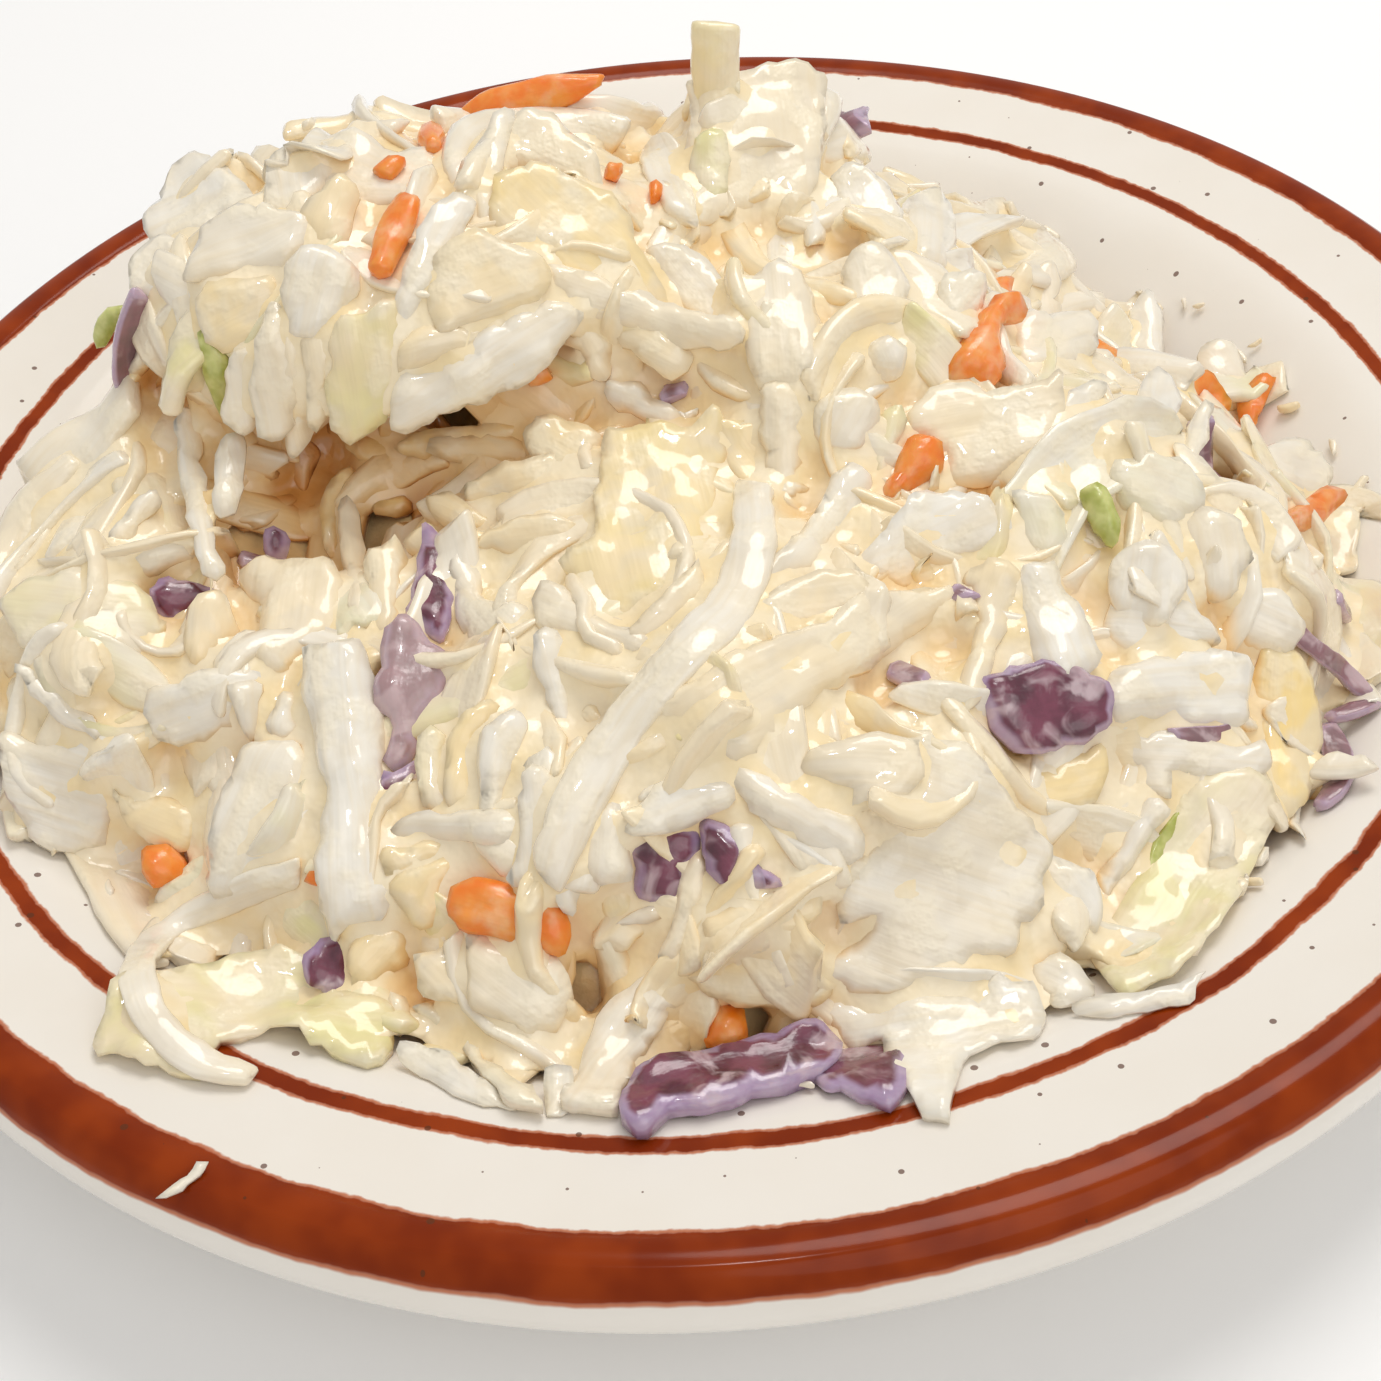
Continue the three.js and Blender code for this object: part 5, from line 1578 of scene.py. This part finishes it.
def carrot_paint():
    p = Paint("carrot")
    base = p.mix(p.ramp(p.noise(2.0, 2.0), 0.3, 0.7), colour(250, 128, 18), colour(252, 158, 66))
    milk = p.ramp(p.noise(2.6, 3.0), 0.5, 0.72, 0.0, 0.5)
    base = p.mix(milk, base, colour(252, 206, 160))
    grain = p.noise(0.6, 2.0, p.strip(6, 0.6))
    p.set(Base_Color=base, Roughness=0.32, Normal=p.bump(grain, 0.15, 0.4, p.bump(p.noise(1.0), 0.15, 0.5)))
    p.set(Subsurface_Weight=0.3, Subsurface_Radius=(1.0, 0.45, 0.15), Subsurface_Scale=0.0016)
    p.set(Coat_Weight=0.5, Coat_Roughness=0.12)
    return p.material


def green_paint():
    p = Paint("green_leaf")
    base = p.mix(p.ramp(p.noise(1.6, 2.0), 0.3, 0.7), colour(176, 182, 84), colour(220, 220, 146))
    p.set(Base_Color=base, Roughness=0.3, Normal=p.bump(p.noise(0.7), 0.15, 0.5))
    p.set(Subsurface_Weight=0.2, Subsurface_Radius=(0.6, 1.0, 0.3), Subsurface_Scale=0.001)
    p.set(Coat_Weight=0.5, Coat_Roughness=0.1)
    return p.material


# The brown band and line: radii from inside to outside, how soft their edges are, and the heights that they
# fade in over, so that the underside stays plain.
BAND_RADII, BAND_EDGE, BAND_LOW = (77.5, 90.0), 0.22, (17.6, 18.2)
LINE_RADII, LINE_EDGE, LINE_LOW = (68.9, 70.4), 0.2, (12, 14)
SPECK_CELL = 5.5


def glaze_paint():
    """Cream glaze with specks, a brown band on the rim's crest and a thin brown line inside it."""
    p = Paint("plate_glaze")
    parts = p.node("SeparateXYZ", {0: p.object})
    x, y, z = parts.outputs
    radius = p.math("SQRT", p.plus(p.times(x, x), p.times(y, y)))
    waver = p.times(p.less(p.noise(5.0, 3.0), 0.5), 0.9 * MM)
    fuzz = p.times(p.less(p.noise(0.8, 2.0), 0.5), 0.35 * MM)
    edge = p.plus(radius, p.plus(waver, fuzz))

    def ring(inner, outer, soft):
        rise = p.ramp(edge, (inner - soft) * MM, (inner + soft) * MM)
        fall = p.ramp(edge, (outer - soft) * MM, (outer + soft) * MM)
        return p.times(rise, p.less(1.0, fall))

    outside = p.ramp(p.plus(z, waver), BAND_LOW[0] * MM, BAND_LOW[1] * MM)
    band = p.times(ring(*BAND_RADII, BAND_EDGE), outside)
    line = p.times(ring(*LINE_RADII, LINE_EDGE), p.ramp(z, LINE_LOW[0] * MM, LINE_LOW[1] * MM))
    brown = p.math("MAXIMUM", band, line)
    cream = p.mix(p.noise(9.0, 3.0), colour(244, 239, 231), colour(239, 232, 221))
    stain = p.mix(p.ramp(p.noise(5.0, 2.0), 0.3, 0.75), colour(126, 41, 2), colour(152, 58, 8))
    halo = p.times(p.times(brown, p.less(1.0, brown)), 3.0)
    base = p.mix(brown, cream, stain)
    base = p.mix(halo, base, colour(200, 104, 44))
    inputs = {"Vector": p.object, "Scale": 1 / (SPECK_CELL * MM), "Randomness": 1.0}
    cells = p.node("TexVoronoi", inputs, voronoi_dimensions="2D")
    pick = p.node("SeparateColor", {0: cells.outputs["Color"]})
    tilt = p.node("SeparateXYZ", {0: p.node("NewGeometry", {}).outputs["Normal"]}).outputs[2]
    size = p.times(p.ramp(pick.outputs[0], 0.35, 1.0), p.ramp(tilt, 0.4, 0.8, 0.0, 0.052))
    speck = p.math("LESS_THAN", cells.outputs["Distance"], size)
    base = p.mix(p.times(speck, 0.8), base, colour(96, 50, 26))
    p.set(Base_Color=base, Roughness=0.14, Normal=p.bump(p.noise(14.0, 2.0), 0.25, 0.25))
    p.set(Specular_IOR_Level=0.14, Coat_Weight=0.06, Coat_Roughness=0.05)
    return p.material


def floor_paint():
    p = Paint("pale_floor")
    base = p.mix(p.noise(60.0, 2.0), colour(255, 255, 255), colour(253, 253, 253))
    p.set(Base_Color=base, Roughness=0.9)
    return p.material


# ---- Building ---------------------------------------------------------------------------------------


def make_plate():
    skin = Skin()
    points, quads, tris = lathed(plate_outline(), PLATE_SEGMENTS)
    skin.add(points, quads, tris, {})
    skin.made("glazed_plate", glaze_paint(), "plate_glaze", ("plate",))
    coarse, faces, _ = lathed(np.concatenate([GLAZE, [(0, 0)]]), 64)
    coarse[:, 2] += PLATE_GAP
    pile.add(coarse, faces)


def make_core():
    """The heap's inside: the mounds blended into one lumpy body, under the pieces."""
    bodies = []
    for mound in MOUNDS:
        bpy.ops.mesh.primitive_uv_sphere_add(segments=48, ring_count=24)
        ball = bpy.context.object
        radii = np.array(mound["radii"]) - CORE_DEPTH
        turn = Matrix.Rotation(math.radians(mound["turn"]), 4, "Z")
        ball.data.transform(Matrix.Translation(mound["centre"]) @ turn @ Matrix.Diagonal((*radii, 1)))
        bodies.append(ball)
    with bpy.context.temp_override(active_object=bodies[0], selected_editable_objects=bodies):
        bpy.ops.object.join()
    points, quads = remeshed(bodies[0], CORE_VOXEL)
    lumps = 0.9 * ripple(points, 7.0, 11) + 0.4 * ripple(points, 3.2, 12)
    for _ in range(CORE_PASSES):
        points = points + outward(points) * (lumps - CORE_DEPTH - bed_distance(points))[:, None] * CORE_PACE
    points = cleared(points)
    skin = Skin()
    skin.add(points, quads, NO_TRIS, {})
    skin.made("slaw_core", core_paint())
    pile.add(points, quads)


# Kinds of scattered piece: ranges of size in millimetres, and how far each finish varies.
UNDER = {
    "length": (14, 30), "width": (4.0, 7.5), "thickness": (1.2, 2.2), "bend": 0.14, "spacing": 2.2,
    "hollow": 0,
}
BODY = {
    "length": (11, 26), "width": (3.2, 6.4), "thickness": (1.2, 2.2), "bend": 0.16, "spacing": 1.6,
    "curl": 0.8,
}
THIN = {"length": (9, 22), "width": (2.0, 3.4), "thickness": (1.2, 1.9), "bend": 0.2, "curl": 0.9}
SMALL_LEAF = {
    "length": (9, 17), "width": (6.0, 10), "thickness": (1.0, 1.4), "bend": 0.08, "spacing": 1.3,
    "tilt": 0.3, "look": {"wave": 0.8, "wavelength": 7.0, "ragged": 0.22, "notch": 3.0},
}
RED = {"length": (8, 20), "width": (2.4, 5.0), "thickness": (1.2, 1.9), "bend": 0.16, "spacing": 1.4}
CARROT = {"length": (6, 18), "width": (2.2, 3.4), "thickness": (1.6, 2.2), "bend": 0.08, "spacing": 1.4}

# Where the seeds of each table's pieces start.
STRIP_SEED, LATE_SEED, FLAKE_SEED, SCOOP_SEED, FILM_SEED, UPRIGHT_SEED = 1000, 1500, 2000, 3000, 4000, 90
SCATTER_SEED = 20


def lay_strips(rows, skins, rng, first_seed):
    """The strips that the photograph shows, each laid on the pile, and the places that they take."""
    marks = []
    for number, (kind, pixels, look) in enumerate(rows):
        if number % 6 == 0:
            pile.refresh()
        over = look.get("lift", 0.0)
        route = photo_route(pixels, PHOTO_LIFT + over)
        look = {"seed": first_seed + number, **KIND_LOOKS[kind], **look}
        place(skins[kind], route, look, rng, PHOTO_CAP + over, 1.0)
        marks.append(route[::2])
    return marks


def make_slaw():
    """The core, the deep pieces, the traced ones, more round those, and the dressing over them all."""
    make_core()
    rng = np.random.default_rng(SCATTER_SEED)
    under, body, upper, leaves = Skin(), Skin(), Skin(), Skin()
    red, carrot, green, shown, crumbs = Skin(), Skin(), Skin(), Skin(), Skin()
    for _ in range(6):
        scatter(under, rng, 52, UNDER, ceiling=-4.0)
    for _ in range(4):
        scatter(under, rng, 52, UNDER, ceiling=-3.0)
    scatter(red, rng, 14, RED, ceiling=-2.4, share_seen=0)
    scatter(carrot, rng, 14, CARROT, ceiling=-2.4, share_seen=0)
    for _ in range(3):
        scatter(body, rng, 48, BODY, ceiling=-2.0)
    scatter(leaves, rng, 26, SMALL_LEAF, ceiling=-1.6)
    scatter(body, rng, 44, THIN, ceiling=-1.4)
    skins = {"slice": shown, "red": red, "carrot": carrot, "green": green}
    late = [strip for strip in STRIPS.values() if "late" in strip[-1]]
    early = [strip for strip in STRIPS.values() if "late" not in strip[-1]]
    marks = lay_strips(early, skins, rng, STRIP_SEED)
    pile.refresh()
    for number, (kind, outline, look) in enumerate(FLAKES.values()):
        pile.top_up()
        look = {"seed": FLAKE_SEED + number, "tint": 0.0 if kind == "red" else 0.5, **look}
        flake(skins[kind], outline, look, PHOTO_CAP)
        inner = np.mean(outline, 0) + 0.5 * (np.array(outline) - np.mean(outline, 0))
        marks.append(settled(seen_at(np.concatenate([outline, inner]), PHOTO_LIFT)))
    marks += lay_strips(late, skins, rng, LATE_SEED)
    for number, (kind, outline, look) in enumerate(SCOOP.values()):
        flake(skins[kind], outline, {"seed": SCOOP_SEED + number, "bed": "curtain", **look}, PHOTO_CAP)
        marks.append(settled(seen_at(outline, PHOTO_LIFT)))
    for number, outline in enumerate(FILMS):
        flake(crumbs, outline, {"seed": FILM_SEED + number, **FILM_LOOK}, PHOTO_CAP)
    strew(crumbs, rng, 44)
    loose(shown, np.array(STRAND, float), STRAND_LOOK, rng)
    for number, (kind, pixels, look) in enumerate(UPRIGHT.values()):
        ways = sight_lines(pixels)
        knots = CAMERA_AT + ways * ((look["back"] - CAMERA_AT[1]) / ways[:, 1])[:, None]
        loose(skins[kind], knots, {"seed": UPRIGHT_SEED + number, **look}, rng)
    marks = np.concatenate(marks)
    for _ in range(3):
        scatter(upper, rng, 50, BODY, ceiling=-0.6, share_seen=0.15, clear_of=marks, spacing=4.5)
    scatter(leaves, rng, 24, SMALL_LEAF, ceiling=-0.6, share_seen=0.2, clear_of=marks, spacing=7)
    scatter(red, rng, 12, RED, ceiling=-0.3, share_seen=0, clear_of=marks, spacing=8)
    scatter(carrot, rng, 14, CARROT, ceiling=-0.3, share_seen=0, clear_of=marks, spacing=8)
    scatter(upper, rng, 50, THIN, ceiling=-0.3, share_seen=0.15, clear_of=marks, spacing=4)
    crowding.settle()
    make_dressing([under, body, leaves, upper, shown])
    cabbage = cabbage_paint()
    under.made("under_shreds", cabbage)
    body.made("middle_shreds", cabbage)
    upper.made("cabbage_shreds", cabbage)
    leaves.made("cabbage_leaves", cabbage)
    shown.made("cabbage_slices", cabbage)
    crumbs.made("crumbs_and_film", cabbage)
    red.made("red_cabbage", red_paint())
    carrot.made("carrot_strips", carrot_paint())
    green.made("green_bits", green_paint())


STUDIO_HALF = 1.5


def make_floor():
    mesh = bpy.data.meshes.new("floor")
    corners = [(x * STUDIO_HALF, y * STUDIO_HALF, 0) for x, y in ((-1, -1), (1, -1), (1, 1), (-1, 1))]
    mesh.from_pydata(corners, [], [(0, 1, 2, 3)])
    mesh.materials.append(floor_paint())
    floor = bpy.data.objects.new("floor", mesh)
    bpy.context.scene.collection.objects.link(floor)


def make_camera():
    data = bpy.data.cameras.new("camera")
    data.sensor_width = SENSOR_WIDTH
    data.lens = SENSOR_WIDTH * FOCAL_PIXELS / PHOTO_PIXELS
    data.clip_start, data.clip_end = 0.01, 10
    camera = bpy.data.objects.new("camera", data)
    turn = np.eye(4)
    turn[:3, :3] = np.stack([CAMERA_RIGHT, -CAMERA_DOWN, -CAMERA_AHEAD], 1)
    turn[:3, 3] = CAMERA_AT * MM
    camera.matrix_world = Matrix(turn.tolist())
    bpy.context.scene.collection.objects.link(camera)
    bpy.context.scene.camera = camera


LIGHTS_AIM = Vector((0, 0, 0.02))


def make_light(name, size, power, place, tone=(1, 1, 1)):
    data = bpy.data.lights.new(name, "AREA")
    data.shape = "DISK"
    data.size = size
    data.energy = power
    data.color = tone
    lamp = bpy.data.objects.new(name, data)
    lamp.location = place
    lamp.rotation_euler = (LIGHTS_AIM - Vector(place)).to_track_quat("-Z", "Y").to_euler()
    bpy.context.scene.collection.objects.link(lamp)
    return lamp


SKY_COLOUR = (1.0, 0.985, 0.96, 1.0)
SKY_STRENGTH = 0.55


def make_world():
    world = bpy.data.worlds.new("studio")
    world.use_nodes = True
    background = world.node_tree.nodes["Background"]
    background.inputs["Color"].default_value = SKY_COLOUR
    background.inputs["Strength"].default_value = SKY_STRENGTH
    bpy.context.scene.world = world
    bpy.context.scene.view_settings.view_transform = "Standard"


make_camera()
make_world()
make_light("key", size=0.35, power=1.75, place=(0.14, 0.24, 0.60), tone=(1.0, 0.98, 0.95))
make_light("fill", size=0.6, power=1.0, place=(0.25, -0.5, 0.55))
make_light("spark", size=0.05, power=0.3, place=(0.0, -0.06, 0.62)).visible_diffuse = False
make_floor()
make_plate()
make_slaw()
